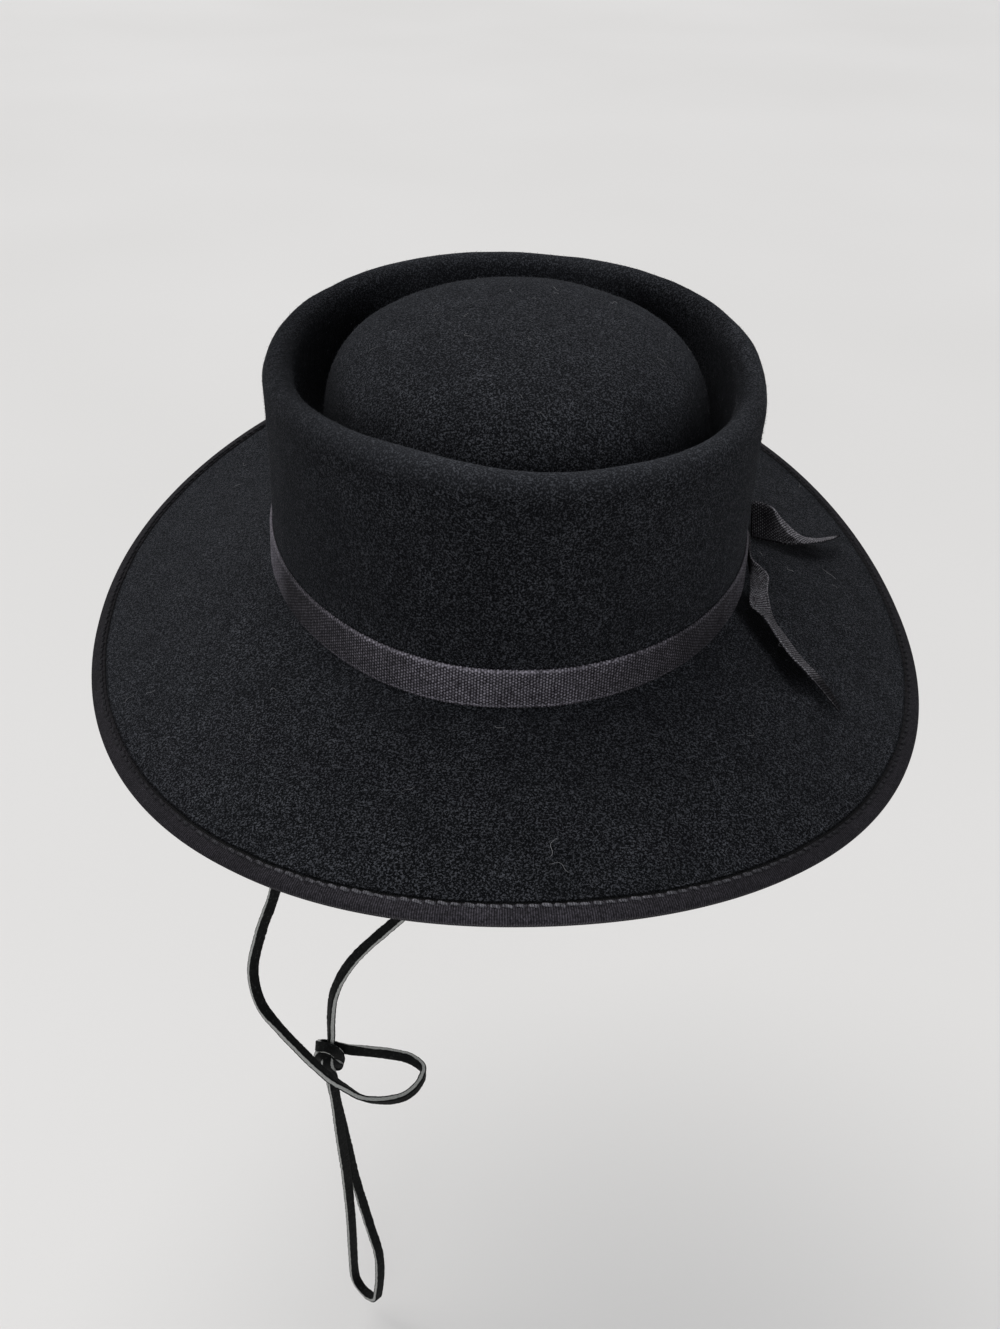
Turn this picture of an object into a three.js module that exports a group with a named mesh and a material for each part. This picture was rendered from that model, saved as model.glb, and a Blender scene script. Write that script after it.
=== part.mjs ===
// Wide-brimmed wool felt hat with a telescope crown: a straight-sided crown
// whose top is folded over a rounded rim into a deep trench, with a domed
// centre rising inside it. A narrow ribbed band goes round the crown and its
// two free ends lie on the brim at the wearer's left. The brim edge is bound
// with the same ribbed tape. The felt is one blocked piece, given here as brim,
// crown side and crown top, each simple in shape. A flat leather lace hangs from
// the sides of the sweatband as one loop, with a knot, a side bight and a
// hanging bight.
//
// Millimetres. +X is the wearer's left, -Y the front, +Z up. The origin is the
// middle of the head opening, on the line where the crown meets the brim.
import * as THREE from 'three';

// ---------------------------------------------------------------- dimensions
const SEGMENTS = 60;          // round the oval
const FELT = 2.2;             // felt thickness
const GAP = 0.35;             // clearance between touching pieces

// Line where the crown meets the brim, seen from above.
const BASE = { half: 88, ratio: 1.18, power: 2.13, egg: 0.03 };
const BASE_WAVES = [          // radial, mm
  { k: 1, cos: -0.31, sin: 0.21 },
  { k: 2, cos: 0.00, sin: 1.00 },
  { k: 3, cos: -0.24, sin: -0.41 },
  { k: 4, cos: 0.18, sin: -0.55 },
];
const BASE_HEIGHT = [         // the line is a little higher at the sides
  { k: 1, cos: -0.47, sin: 0 },
  { k: 2, cos: 2.62, sin: 0 },
];

// Rounded rim at the top of the crown: the centre line of its roll.
const RIM = { half: 82.73, ratio: 1.16, power: 2.04, egg: 0.03, x: 1.44, y: -1.24, height: 72.86 };
const RIM_ROLL = 5.31;        // outer radius of the roll
const RIM_WAVES = [           // radial, mm: soft corners in the rim
  { k: 2, cos: 0.01, sin: -0.07 },
  { k: 3, cos: -0.50, sin: 0.29 },
  { k: 4, cos: 0.28, sin: 0.44 },
  { k: 5, cos: -0.06, sin: 0.71 },
  { k: 6, cos: -0.52, sin: 0.06 },
];
const RIM_HEIGHT = [          // mm up or down along the rim
  { k: 1, cos: -0.67, sin: 2.02 },
  { k: 2, cos: -2.37, sin: 0.69 },
  { k: 3, cos: 0.24, sin: 0.06 },
  { k: 4, cos: -1.00, sin: 0.00 },
];
const WALL_INSET = 0.9;       // felt lies this far inside the band line
const WALL_HOLLOW = 0.7;      // inward sag of the crown wall at mid height
const WALL_ROWS = [0.30, 0.62, 0.88];
const SIDE_ROLL_ROWS = [0, 45, 88, 90];    // degrees round the roll
const TOP_ROLL_ROWS = [100, 102, 140, 180];

// Trench and dome inside the rim.
const TRENCH = { wall: 56, floor: 46 };
const DOME = { x: 1.9, y: 2.6, halfX: 69.0, halfY: 79.6, foot: 50, top: 91.5, profile: 2.6, crown: 2.4, lobe: 0.017 };
const DOME_ROWS = [0, 22, 40, 56, 70, 81]; // degrees up the dome

// Brim.
const BRIM_WIDTH = 78.05;
const BRIM_WIDTH_WAVES = [
  { k: 1, cos: 0.17, sin: 0.72 },
  { k: 2, cos: 0.47, sin: 0.00 },
  { k: 3, cos: -0.46, sin: 0.04 },
];
const BRIM_DROOP = 17.48;     // degrees below level, mean
const BRIM_DROOP_WAVES = [    // sides droop 27, front 15, back rises 3
  { k: 1, cos: -0.05, sin: -8.84 },
  { k: 2, cos: 10.84, sin: -0.51 },
  { k: 3, cos: -0.14, sin: 0.29 },
  { k: 4, cos: -0.73, sin: 0.00 },
];
const BRIM_ARCH = 1.4;        // rise of the brim over its own chord
const BRIM_ROWS = [1, 0.75, 0.5, 0.25, 0.004];   // share of the width, from the edge in

// Ribbed tape and leather.
const BAND = { foot: 0.7, height: 14.3, thick: 0.9 };
const BINDING = { width: 6.6, thick: 1.0, nose: 1.4 };
const SWEATBAND = { foot: -0.5, head: 34, thick: 1.2, footGap: 4.5, headGap: 0.5 };
const TAIL_THICK = 0.8;
const JOIN = { angle: 2.5, across: 13, from: 3.6, to: 18.2, off: 0.75, thick: 3.2 };
const LACE_ACROSS = 3.4;      // tube of the lace, over its flats

// The two free ends of the band: both long edges of the tape, row by row.
const TAIL_UPPER = [
  { near: [93.6, 0.6, 1.3], far: [93.6, 8.0, 13.0] },
  { near: [98.4, 1.6, -0.6], far: [98.4, 9.6, 11.4] },
  { near: [103.7, 4.0, -2.9], far: [103.6, 12.9, 7.6] },
  { near: [108.8, 5.0, -4.5], far: [110.0, 18.4, -0.7] },
  { near: [115.1, 6.2, -5.2], far: [118.0, 19.6, -8.9] },
  { near: [119.4, 8.4, -6.2], far: [122.8, 21.3, -11.0] },
  { near: [123.9, 11.7, -7.6], far: [127.8, 24.2, -13.0] },
  { near: [128.8, 16.8, -9.8], far: [133.1, 29.0, -15.3] },
  { near: [133.8, 23.1, -12.5], far: [138.2, 34.2, -17.5] },
  { near: [138.8, 31.4, -15.9], far: [141.0, 36.5, -18.2] },
];
const TAIL_LOWER = [
  { near: [88.8, -4.6, 3.6], far: [88.8, -4.6, 17.6] },
  { near: [87.7, -18.4, 3.6], far: [87.8, -17.4, 16.9] },
  { near: [85.6, -31.0, 4.2], far: [87.2, -26.0, 14.2] },
  { near: [83.0, -43.5, 4.6], far: [86.2, -35.0, 8.6] },
  { near: [80.7, -55.4, 5.1], far: [87.0, -42.6, 2.5] },
  { near: [84.0, -61.3, 4.1], far: [90.3, -53.2, -2.0] },
  { near: [86.9, -69.7, 1.4], far: [94.0, -61.0, -5.6] },
  { near: [90.6, -76.2, -2.2], far: [98.1, -68.7, -9.2] },
  { near: [94.9, -79.3, -5.8], far: [101.7, -72.8, -11.5] },
  { near: [100.3, -83.0, -11.2], far: [104.8, -78.7, -13.9] },
  { near: [106.3, -88.0, -17.1], far: [107.3, -86.5, -16.8] },
];

// Lace: three free runs and the knot that joins them.
const LACE_LEFT = [           // sweatband at the wearer's right, side bight, knot
  { x: -79.0, y: -33.4, z: 4.5 },
  { x: -79.3, y: -33.6, z: -8.0 },
  { x: -82.2, y: -34.3, z: -45.0 },
  { x: -88.6, y: -35.8, z: -95.0 },
  { x: -95.6, y: -38.0, z: -139.0 },
  { x: -102.6, y: -42.0, z: -158.5 },
  { x: -107.0, y: -46.8, z: -177.0 },
  { x: -104.3, y: -52.5, z: -190.5 },
  { x: -96.7, y: -57.5, z: -200.7 },
  { x: -88.9, y: -62.0, z: -208.5 },
  { x: -82.3, y: -65.5, z: -214.9 },
  { x: -75.8, y: -68.0, z: -221.3 },
  { x: -70.4, y: -69.2, z: -225.6 },
  { x: -62.6, y: -69.5, z: -232.7 },
  { x: -52.0, y: -67.5, z: -237.3 },
  { x: -43.8, y: -63.5, z: -239.5 },
  { x: -38.0, y: -58.0, z: -238.0 },
  { x: -36.6, y: -53.0, z: -235.5 },
  { x: -41.8, y: -49.5, z: -232.7 },
  { x: -50.6, y: -48.0, z: -230.7 },
  { x: -61.6, y: -47.6, z: -228.6 },
  { x: -69.8, y: -48.0, z: -226.4 },
];
const LACE_BIGHT = [          // down from the knot, round, and back up to it
  { x: -76.3, y: -53.0, z: -240.6 },
  { x: -76.3, y: -53.0, z: -248.8 },
  { x: -75.3, y: -52.3, z: -278.2 },
  { x: -74.0, y: -51.0, z: -311.6 },
  { x: -73.6, y: -48.8, z: -348.4 },
  { x: -74.1, y: -46.2, z: -382.0 },
  { x: -74.2, y: -45.5, z: -401.7 },
  { x: -73.4, y: -46.2, z: -407.2 },
  { x: -71.2, y: -48.4, z: -410.5 },
  { x: -68.1, y: -51.4, z: -411.7 },
  { x: -65.0, y: -54.4, z: -410.5 },
  { x: -62.8, y: -56.6, z: -407.2 },
  { x: -61.9, y: -57.4, z: -401.7 },
  { x: -60.4, y: -57.7, z: -385.0 },
  { x: -60.6, y: -56.6, z: -368.0 },
  { x: -64.0, y: -53.2, z: -352.0 },
  { x: -67.5, y: -50.0, z: -334.8 },
  { x: -70.3, y: -48.0, z: -319.2 },
  { x: -72.4, y: -46.9, z: -301.5 },
  { x: -75.0, y: -46.8, z: -276.8 },
  { x: -77.1, y: -47.6, z: -255.7 },
  { x: -77.9, y: -48.4, z: -244.9 },
  { x: -77.9, y: -48.5, z: -240.6 },
];
const LACE_RIGHT = [          // knot to the sweatband at the wearer's left
  { x: -76.4, y: -48.4, z: -217.6 },
  { x: -75.8, y: -48.0, z: -206.0 },
  { x: -73.4, y: -47.4, z: -190.0 },
  { x: -65.4, y: -46.2, z: -173.4 },
  { x: -44.0, y: -44.2, z: -150.0 },
  { x: 8.0, y: -40.4, z: -98.0 },
  { x: 60.0, y: -35.6, z: -38.0 },
  { x: 76.4, y: -33.4, z: -12.0 },
  { x: 78.2, y: -32.8, z: 4.0 },
];
const KNOT = { x: -77.0, y: -49.6, z: -228.6, rx: 6.4, ry: 7.6, rz: 9.8 };

// ---------------------------------------------------------------- functions
const V = (x, y, z) => new THREE.Vector3(x, y, z);
const wave = (table, a) => table.reduce((s, w) => s + w.cos * Math.cos(w.k * a) + w.sin * Math.sin(w.k * a), 0);
const bend = (v, p) => Math.sign(v) * Math.abs(v) ** (2 / p);

function oval(o, waves, a) {
  const c = Math.cos(a), s = Math.sin(a), r = wave(waves, a);
  return V(
    (o.x || 0) + o.half * bend(c, o.power) * (1 + o.egg * s) + r * c,
    (o.y || 0) + o.half * o.ratio * bend(s, o.power) + r * s, 0);
}
const basePoint = (a) => oval(BASE, BASE_WAVES, a).setZ(wave(BASE_HEIGHT, a));
const rimPoint = (a) => oval(RIM, RIM_WAVES, a).setZ(RIM.height + wave(RIM_HEIGHT, a));
function outward(curve, a) {
  const t = curve(a + 0.002).sub(curve(a - 0.002));
  return V(t.y, -t.x, 0).normalize();
}

// Outer face of the crown wall, share f of the way from brim to rim.
function wallPoint(a, f) {
  const low = basePoint(a).addScaledVector(outward(basePoint, a), -WALL_INSET);
  const high = rimPoint(a).addScaledVector(outward(rimPoint, a), RIM_ROLL);
  const p = low.lerp(high, f);
  return p.addScaledVector(outward(basePoint, a), -WALL_HOLLOW * 4 * f * (1 - f));
}

// Top face of the brim, share t of the width, raised by lift along its normal.
function brimPoint(a, t, lift = 0) {
  const n = outward(basePoint, a);
  const droop = THREE.MathUtils.degToRad(BRIM_DROOP + wave(BRIM_DROOP_WAVES, a));
  const w = (BRIM_WIDTH + wave(BRIM_WIDTH_WAVES, a)) * t;
  const up = lift + 4 * BRIM_ARCH * t * (1 - t);
  const p = basePoint(a).addScaledVector(n, Math.cos(droop) * w + Math.sin(droop) * up);
  p.z += Math.cos(droop) * up - Math.sin(droop) * w;
  return p;
}

function domePoint(a, degrees) {
  const e = THREE.MathUtils.degToRad(degrees);
  const r = Math.cos(e) ** (2 / DOME.profile) * (1 + DOME.lobe * Math.sin(3 * a));
  const z = DOME.foot + (DOME.top - DOME.foot) * Math.sin(e) ** (2 / DOME.crown);
  return V(DOME.x + DOME.halfX * r * Math.cos(a), DOME.y + DOME.halfY * r * Math.sin(a), z);
}

// Top face of the felt at one angle: the brim from its edge in, the crown side
// up over the outer half of the roll, and the crown top from there to the dome.
function brimProfile(a) {
  const width = BRIM_WIDTH + wave(BRIM_WIDTH_WAVES, a);
  return BRIM_ROWS.map((t, i) => brimPoint(a, i ? t : 1 - BINDING.nose / width));
}

function rollPoint(a, degrees) {
  const r = THREE.MathUtils.degToRad(degrees);
  const p = rimPoint(a).addScaledVector(outward(rimPoint, a), RIM_ROLL * Math.cos(r));
  p.z += RIM_ROLL * Math.sin(r);
  return p;
}

const sideProfile = (a) => [...[0, ...WALL_ROWS].map((f) => wallPoint(a, f)), ...SIDE_ROLL_ROWS.map((d) => rollPoint(a, d))];

function topProfile(a) {
  const rows = TOP_ROLL_ROWS.map((d) => rollPoint(a, d));
  const inner = rimPoint(a).addScaledVector(outward(rimPoint, a), -RIM_ROLL - 0.4).setZ(TRENCH.wall);
  const floor = inner.clone().lerp(domePoint(a, 0), 0.5).setZ(TRENCH.floor);
  rows.push(inner, inner.clone().lerp(floor, 0.35).setZ((TRENCH.floor * 2 + TRENCH.wall) / 3), floor);
  for (const d of DOME_ROWS) rows.push(domePoint(a, d));
  return rows;
}

const angles = Array.from({ length: SEGMENTS }, (_, i) => (i / SEGMENTS) * Math.PI * 2);

// One closed mesh from a list of rings, each ring a list of points.
// closed joins the last ring to the first; otherwise both ends get a pole.
function ringMesh(rings, poles) {
  const pos = [], idx = [], m = rings.length, n = rings[0].length;
  for (const ring of rings) for (const p of ring) pos.push(p.x, p.y, p.z);
  const last = poles ? m - 1 : m;
  for (let j = 0; j < last; j++) {
    for (let i = 0; i < n; i++) {
      const k = (i + 1) % n, q = (j + 1) % m;
      const a = j * n + i, b = j * n + k, c = q * n + k, d = q * n + i;
      idx.push(a, b, c, a, c, d);
    }
  }
  if (poles) {
    const first = pos.length / 3;
    pos.push(poles[0].x, poles[0].y, poles[0].z, poles[1].x, poles[1].y, poles[1].z);
    for (let i = 0; i < n; i++) {
      const k = (i + 1) % n;
      idx.push(first, k, i, first + 1, (m - 1) * n + i, (m - 1) * n + k);
    }
  }
  const g = new THREE.BufferGeometry();
  g.setAttribute('position', new THREE.Float32BufferAttribute(pos, 3));
  g.setIndex(idx);
  g.computeVertexNormals();
  return g;
}

// Mitred offset of a grid of rings to the underside.
function underside(rings, depth) {
  const m = rings.length, n = rings[0].length;
  return rings.map((ring, j) => ring.map((p, i) => {
    const round = ring[(i + 1) % n].clone().sub(ring[(i + n - 1) % n]);
    const a = j > 0 ? round.clone().cross(p.clone().sub(rings[j - 1][i])).normalize() : null;
    const b = j < m - 1 ? round.clone().cross(rings[j + 1][i].clone().sub(p)).normalize() : null;
    const n1 = a || b, n2 = b || a;
    const mid = n1.clone().add(n2).normalize();
    return p.clone().addScaledVector(mid, -depth / Math.max(0.6, mid.dot(n1)));
  }));
}

// One part of the felt: its top face, the same face offset by the thickness,
// and either a closed ring or, with an apex, a cap.
function felt(profile, apex) {
  const columns = angles.map(profile);
  const top = columns[0].map((_, j) => columns.map((c) => c[j]));
  const rings = [...underside(top, FELT).reverse(), ...top];
  return ringMesh(rings, apex ? [V(apex.x, apex.y, apex.z - FELT), apex] : null);
}

// Sections that run round the oval: profile(a) gives one closed outline,
// listed anticlockwise with outward to the right and up.
function hoop(profile) {
  const columns = angles.map(profile);
  return ringMesh(columns[0].map((_, j) => columns.map((c) => c[j])), null);
}

function bandOutline(a) {
  const n = outward(basePoint, a);
  const low = wallPoint(a, 0), high = wallPoint(a, WALL_ROWS[0]);
  const at = (z, off) => low.clone().lerp(high, z / (high.z - low.z)).addScaledVector(n, off);
  const z0 = BAND.foot, z1 = BAND.foot + BAND.height;
  return [at(z0, GAP), at(z0, GAP + BAND.thick), at(z1, GAP + BAND.thick), at(z1, GAP)];
}

function bindingOutline(a) {
  const width = BRIM_WIDTH + wave(BRIM_WIDTH_WAVES, a);
  const at = (inFromEdge, lift) => brimPoint(a, 1 - inFromEdge / width, lift);
  const { width: w, thick: t, nose } = BINDING;
  const top = GAP, low = -FELT - GAP;
  return [
    at(w, low - t), at(0.9, low - t), at(0, low + 0.2), at(0, top - 0.2), at(0.9, top + t), at(w, top + t),
    at(w, top), at(nose - GAP, top), at(nose - GAP, low), at(w, low)];
}

function sweatbandOutline(a) {
  const n = outward(basePoint, a), height = rimPoint(a).z - basePoint(a).z;
  const inner = (z, gap) => wallPoint(a, Math.max(0, z) / height).addScaledVector(n, -FELT - gap).setZ(basePoint(a).z + z);
  const foot = inner(SWEATBAND.foot, SWEATBAND.footGap), head = inner(SWEATBAND.head, SWEATBAND.headGap);
  return [foot.clone().addScaledVector(n, -SWEATBAND.thick), foot, head, head.clone().addScaledVector(n, -SWEATBAND.thick)];
}

// Flat tape with square edges through rows of near and far edge points.
function tape(rows, thick) {
  const near = rows.map((r) => V(...r.near)), far = rows.map((r) => V(...r.far));
  const rings = rows.map((_, i) => {
    const p = Math.max(0, i - 1), q = Math.min(rows.length - 1, i + 1);
    const along = near[q].clone().add(far[q]).sub(near[p]).sub(far[p]);
    const n = along.cross(far[i].clone().sub(near[i])).normalize().multiplyScalar(thick / 2);
    return [near[i].clone().sub(n), far[i].clone().sub(n), far[i].clone().add(n), near[i].clone().add(n)];
  });
  const pos = [], idx = [];
  for (const ring of rings) for (const p of ring) pos.push(p.x, p.y, p.z);
  for (let j = 0; j < rings.length - 1; j++) {
    for (let i = 0; i < 4; i++) {
      const k = (i + 1) % 4, a = j * 4 + i, b = j * 4 + k, c = b + 4, d = a + 4;
      idx.push(a, c, d, a, b, c);
    }
  }
  const e = (rings.length - 1) * 4;
  idx.push(0, 2, 1, 0, 3, 2, e, e + 1, e + 2, e, e + 2, e + 3);
  const g = new THREE.BufferGeometry();
  g.setAttribute('position', new THREE.Float32BufferAttribute(pos, 3));
  g.setIndex(idx);
  g.computeVertexNormals();
  return g;
}

// The tape is tied on itself here: a flat folded pad standing on the band.
function joinPad() {
  const a = THREE.MathUtils.degToRad(JOIN.angle), p = basePoint(a), n = outward(basePoint, a);
  const h = JOIN.to - JOIN.from, w = JOIN.across, c = 2.4;
  const s = new THREE.Shape();
  s.moveTo(-w / 2 + c, -h / 2).lineTo(w / 2 - c, -h / 2).lineTo(w / 2, -h / 2 + c).lineTo(w / 2, h / 2 - c)
    .lineTo(w / 2 - c, h / 2).lineTo(-w / 2 + c, h / 2).lineTo(-w / 2, h / 2 - c).lineTo(-w / 2, -h / 2 + c).closePath();
  const g = new THREE.ExtrudeGeometry(s, { depth: JOIN.thick, bevelEnabled: false });
  const side = V(-n.y, n.x, 0), up = V(0, 0, 1);
  const m = new THREE.Matrix4().makeBasis(side, up, n);
  const at = p.clone().addScaledVector(n, JOIN.off).setZ(p.z + (JOIN.from + JOIN.to) / 2 - 2.2);
  return g.applyMatrix4(m.setPosition(at));
}

// A route whose steps follow its rows, so tight bends get short steps.
class Route extends THREE.CatmullRomCurve3 {
  getPointAt(u, target) { return this.getPoint(u, target); }
  getTangentAt(u, target) { return this.getTangent(u, target); }
}

function laceTube(rows) {
  const path = new Route(rows.map((r) => V(r.x, r.y, r.z)), false, 'centripetal');
  const s = new THREE.Shape(), r = LACE_ACROSS / 2 / Math.cos(Math.PI / 8);
  for (let i = 0; i < 8; i++) {
    const a = ((i + 0.5) / 8) * Math.PI * 2, x = r * Math.cos(a), y = r * Math.sin(a);
    if (i) s.lineTo(x, y); else s.moveTo(x, y);
  }
  s.closePath();
  return new THREE.ExtrudeGeometry(s, { extrudePath: path, steps: (rows.length - 1) * 2, bevelEnabled: false });
}

function knotBody() {
  const g = new THREE.SphereGeometry(1, 14, 9);
  g.rotateX(Math.PI / 2);
  g.scale(KNOT.rx, KNOT.ry, KNOT.rz);
  g.translate(KNOT.x, KNOT.y, KNOT.z);
  return g;
}

// ---------------------------------------------------------------- assembly
const hat = new THREE.Group();
function add(name, geometry, color, roughness) {
  const mesh = new THREE.Mesh(geometry, new THREE.MeshStandardMaterial({ color, roughness, metalness: 0 }));
  mesh.name = name;
  hat.add(mesh);
}

add('felt_brim', felt(brimProfile), 0x15171a, 0.95);
add('felt_crown_side', felt(sideProfile), 0x15171a, 0.95);
add('felt_crown_top', felt(topProfile, V(DOME.x, DOME.y, DOME.top)), 0x15171a, 0.95);
add('hat_band', hoop(bandOutline), 0x201e23, 0.7);
add('brim_binding', hoop(bindingOutline), 0x1c1a1f, 0.75);
add('sweatband', hoop(sweatbandOutline), 0x1a1715, 0.55);
add('band_join', joinPad(), 0x201e23, 0.7);
add('band_tail_upper', tape(TAIL_UPPER, TAIL_THICK), 0x201e23, 0.7);
add('band_tail_lower', tape(TAIL_LOWER, TAIL_THICK), 0x201e23, 0.7);
add('lace_left', laceTube(LACE_LEFT), 0x121312, 0.5);
add('lace_bight', laceTube(LACE_BIGHT), 0x121312, 0.5);
add('lace_right', laceTube(LACE_RIGHT), 0x121312, 0.5);
add('lace_knot', knotBody(), 0x121312, 0.5);

export default hat;
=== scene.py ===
import math

import bpy
import numpy as np
from mathutils import Matrix, Vector, noise


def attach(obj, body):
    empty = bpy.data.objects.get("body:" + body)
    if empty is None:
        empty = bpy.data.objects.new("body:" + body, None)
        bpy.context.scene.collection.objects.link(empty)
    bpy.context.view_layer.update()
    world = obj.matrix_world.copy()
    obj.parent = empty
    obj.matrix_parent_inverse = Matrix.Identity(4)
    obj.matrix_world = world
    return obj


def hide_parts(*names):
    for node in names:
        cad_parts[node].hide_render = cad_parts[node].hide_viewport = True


# Wide-brimmed black wool felt hat with a telescope crown, a ribbed band with two
# free ends, a bound and stitched brim edge and a knotted flat leather lace.
# Tables are in millimetres, in the frame of the model: +X the wearer's left,
# -Y the front, +Z up, origin in the middle of the head opening.

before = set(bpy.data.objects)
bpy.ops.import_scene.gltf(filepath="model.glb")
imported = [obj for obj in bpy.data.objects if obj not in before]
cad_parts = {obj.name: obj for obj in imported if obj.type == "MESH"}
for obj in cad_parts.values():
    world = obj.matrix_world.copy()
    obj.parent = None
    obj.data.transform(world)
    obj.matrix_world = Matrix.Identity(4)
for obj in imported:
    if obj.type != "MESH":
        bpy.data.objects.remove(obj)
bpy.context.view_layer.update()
MM = 0.001
rng = np.random.default_rng(11)

# ------------------------------------------------------------------ camera
RIGHT = Vector((0.9979946729774758, -0.060783296405805515, 0.017664189384886134))
DOWN = Vector((-0.019573908856610162, -0.5617397966357596, -0.8270823797951982))
AHEAD = Vector((0.06019547159591202, 0.8250780519160956, -0.5618030913457902))
EYE = Vector((-34.922531476111594, -447.6522738146174, 249.67461068424421)) * MM

cam_data = bpy.data.cameras.new("camera")
cam_data.sensor_width = 36.0
cam_data.lens = 36.0 * 1347.0 / 1329.0
cam_data.clip_start, cam_data.clip_end = 0.01, 50.0
camera = bpy.data.objects.new("camera", cam_data)
bpy.context.scene.collection.objects.link(camera)
turn = Matrix((RIGHT, -DOWN, -AHEAD)).transposed()
camera.matrix_world = Matrix.Translation(EYE) @ turn.to_4x4()
bpy.context.scene.camera = camera

# ------------------------------------------------------------------ tables
FELT = 2.2
BASE = dict(half=88.0, ratio=1.18, power=2.13, egg=0.03, x=0.0, y=0.0)
BASE_WAVES = [(1, -0.31, 0.21), (2, 0.0, 1.0), (3, -0.24, -0.41), (4, 0.18, -0.55)]
BASE_HEIGHT = [(1, -0.47, 0.0), (2, 2.62, 0.0)]
RIM = dict(half=82.73, ratio=1.16, power=2.04, egg=0.03, x=1.44, y=-1.24)
RIM_Z, RIM_ROLL = 72.86, 5.31
RIM_WAVES = [(2, 0.01, -0.07), (3, -0.50, 0.29), (4, 0.28, 0.44), (5, -0.06, 0.71), (6, -0.52, 0.06)]
RIM_HEIGHT = [(1, -0.67, 2.02), (2, -2.37, 0.69), (3, 0.24, 0.06), (4, -1.0, 0.0)]
WALL_INSET, WALL_HOLLOW = 0.9, 0.7
TRENCH_WALL, TRENCH_FLOOR = 56.0, 46.0
DOME = dict(x=1.9, y=2.6, hx=69.0, hy=79.6, foot=50.0, top=91.5, profile=2.6, crown=2.4, lobe=0.017)
BRIM_WIDTH = [(0, 78.05, 0.0), (1, 0.17, 0.72), (2, 0.47, 0.0), (3, -0.46, 0.04)]
BRIM_DROOP = [(0, 17.48, 0.0), (1, -0.05, -8.84), (2, 10.84, -0.51), (3, -0.14, 0.29), (4, -0.73, 0.0)]
BRIM_ARCH = 1.4
BAND_FOOT, BAND_HEIGHT, BAND_THICK = 0.7, 14.3, 0.9
BINDING_WIDTH, BINDING_THICK = 6.6, 0.8
BAND_RIB, BINDING_RIB = 1.0, 0.74
STITCH_PITCH = 3.8

TAIL_UPPER = [
    ((93.6, 0.6, 1.3), (93.6, 8.0, 13.0)),
    ((98.4, 1.6, -0.6), (98.4, 9.6, 11.4)),
    ((103.7, 4.0, -2.9), (103.6, 12.9, 7.6)),
    ((108.8, 5.0, -4.5), (110.0, 18.4, -0.7)),
    ((115.1, 6.2, -5.2), (118.0, 19.6, -8.9)),
    ((119.4, 8.4, -6.2), (122.8, 21.3, -11.0)),
    ((123.9, 11.7, -7.6), (127.8, 24.2, -13.0)),
    ((128.8, 16.8, -9.8), (133.1, 29.0, -15.3)),
    ((133.8, 23.1, -12.5), (138.2, 34.2, -17.5)),
    ((138.8, 31.4, -15.9), (141.0, 36.5, -18.2)),
]
TAIL_LOWER = [
    ((88.7, -4.6, 3.6), (88.6, -4.6, 9.5)),
    ((87.6, -18.4, 3.6), (87.6, -17.4, 12.0)),
    ((85.6, -31.0, 4.2), (86.4, -28.3, 9.0)),
    ((83.0, -43.5, 4.6), (90.5, -37.6, 7.0)),
    ((80.7, -55.4, 5.1), (89.0, -45.2, 4.4)),
    ((84.0, -61.3, 4.1), (90.3, -53.2, -2.0)),
    ((86.9, -69.7, 1.4), (94.0, -61.0, -5.6)),
    ((90.6, -76.2, -2.2), (98.1, -68.7, -9.2)),
    ((94.9, -79.3, -5.8), (101.7, -72.8, -11.5)),
    ((100.3, -83.0, -11.2), (104.8, -78.7, -13.9)),
    ((106.3, -88.0, -17.1), (107.3, -86.5, -16.8)),
]

# Lace: point of the route, then the direction that its cut side faces there.
LACE_LEFT = [
    ((-79.0, -33.4, 4.5), (-1.0, -0.1, 0.0)), ((-79.3, -33.6, -8.0), (-1.0, -0.1, 0.0)),
    ((-82.2, -34.3, -45.0), (-1.0, -0.1, 0.0)), ((-88.6, -35.8, -95.0), (-1.0, -0.12, 0.0)),
    ((-95.6, -38.0, -139.0), (-0.95, -0.3, 0.0)), ((-102.6, -42.0, -158.5), (-0.85, -0.5, 0.0)),
    ((-107.0, -46.8, -177.0), (-0.8, -0.6, 0.0)), ((-104.3, -52.5, -190.5), (-0.62, -0.75, -0.2)),
    ((-96.7, -57.5, -200.7), (-0.30, -0.92, 0.2)), ((-88.9, -62.0, -208.5), (-0.25, -0.93, 0.27)),
    ((-82.3, -65.5, -214.9), (-0.22, -0.92, 0.32)), ((-75.8, -68.0, -221.3), (-0.13, -0.90, 0.42)),
    ((-70.4, -69.2, -225.6), (-0.05, -0.80, 0.6)), ((-62.6, -69.5, -232.7), (0.05, -0.60, 0.80)),
    ((-52.0, -67.5, -237.3), (0.0, -0.32, 0.95)), ((-43.8, -63.5, -239.5), (0.0, -0.1, 1.0)),
    ((-38.0, -58.0, -238.0), (0.0, 0.0, 1.0)), ((-36.6, -53.0, -235.5), (0.0, 0.1, 1.0)),
    ((-41.8, -49.5, -232.7), (0.0, 0.25, 1.0)), ((-50.6, -48.0, -230.7), (0.0, 0.3, 1.0)),
    ((-61.6, -47.6, -228.6), (0.0, 0.2, 1.0)),
]
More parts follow.
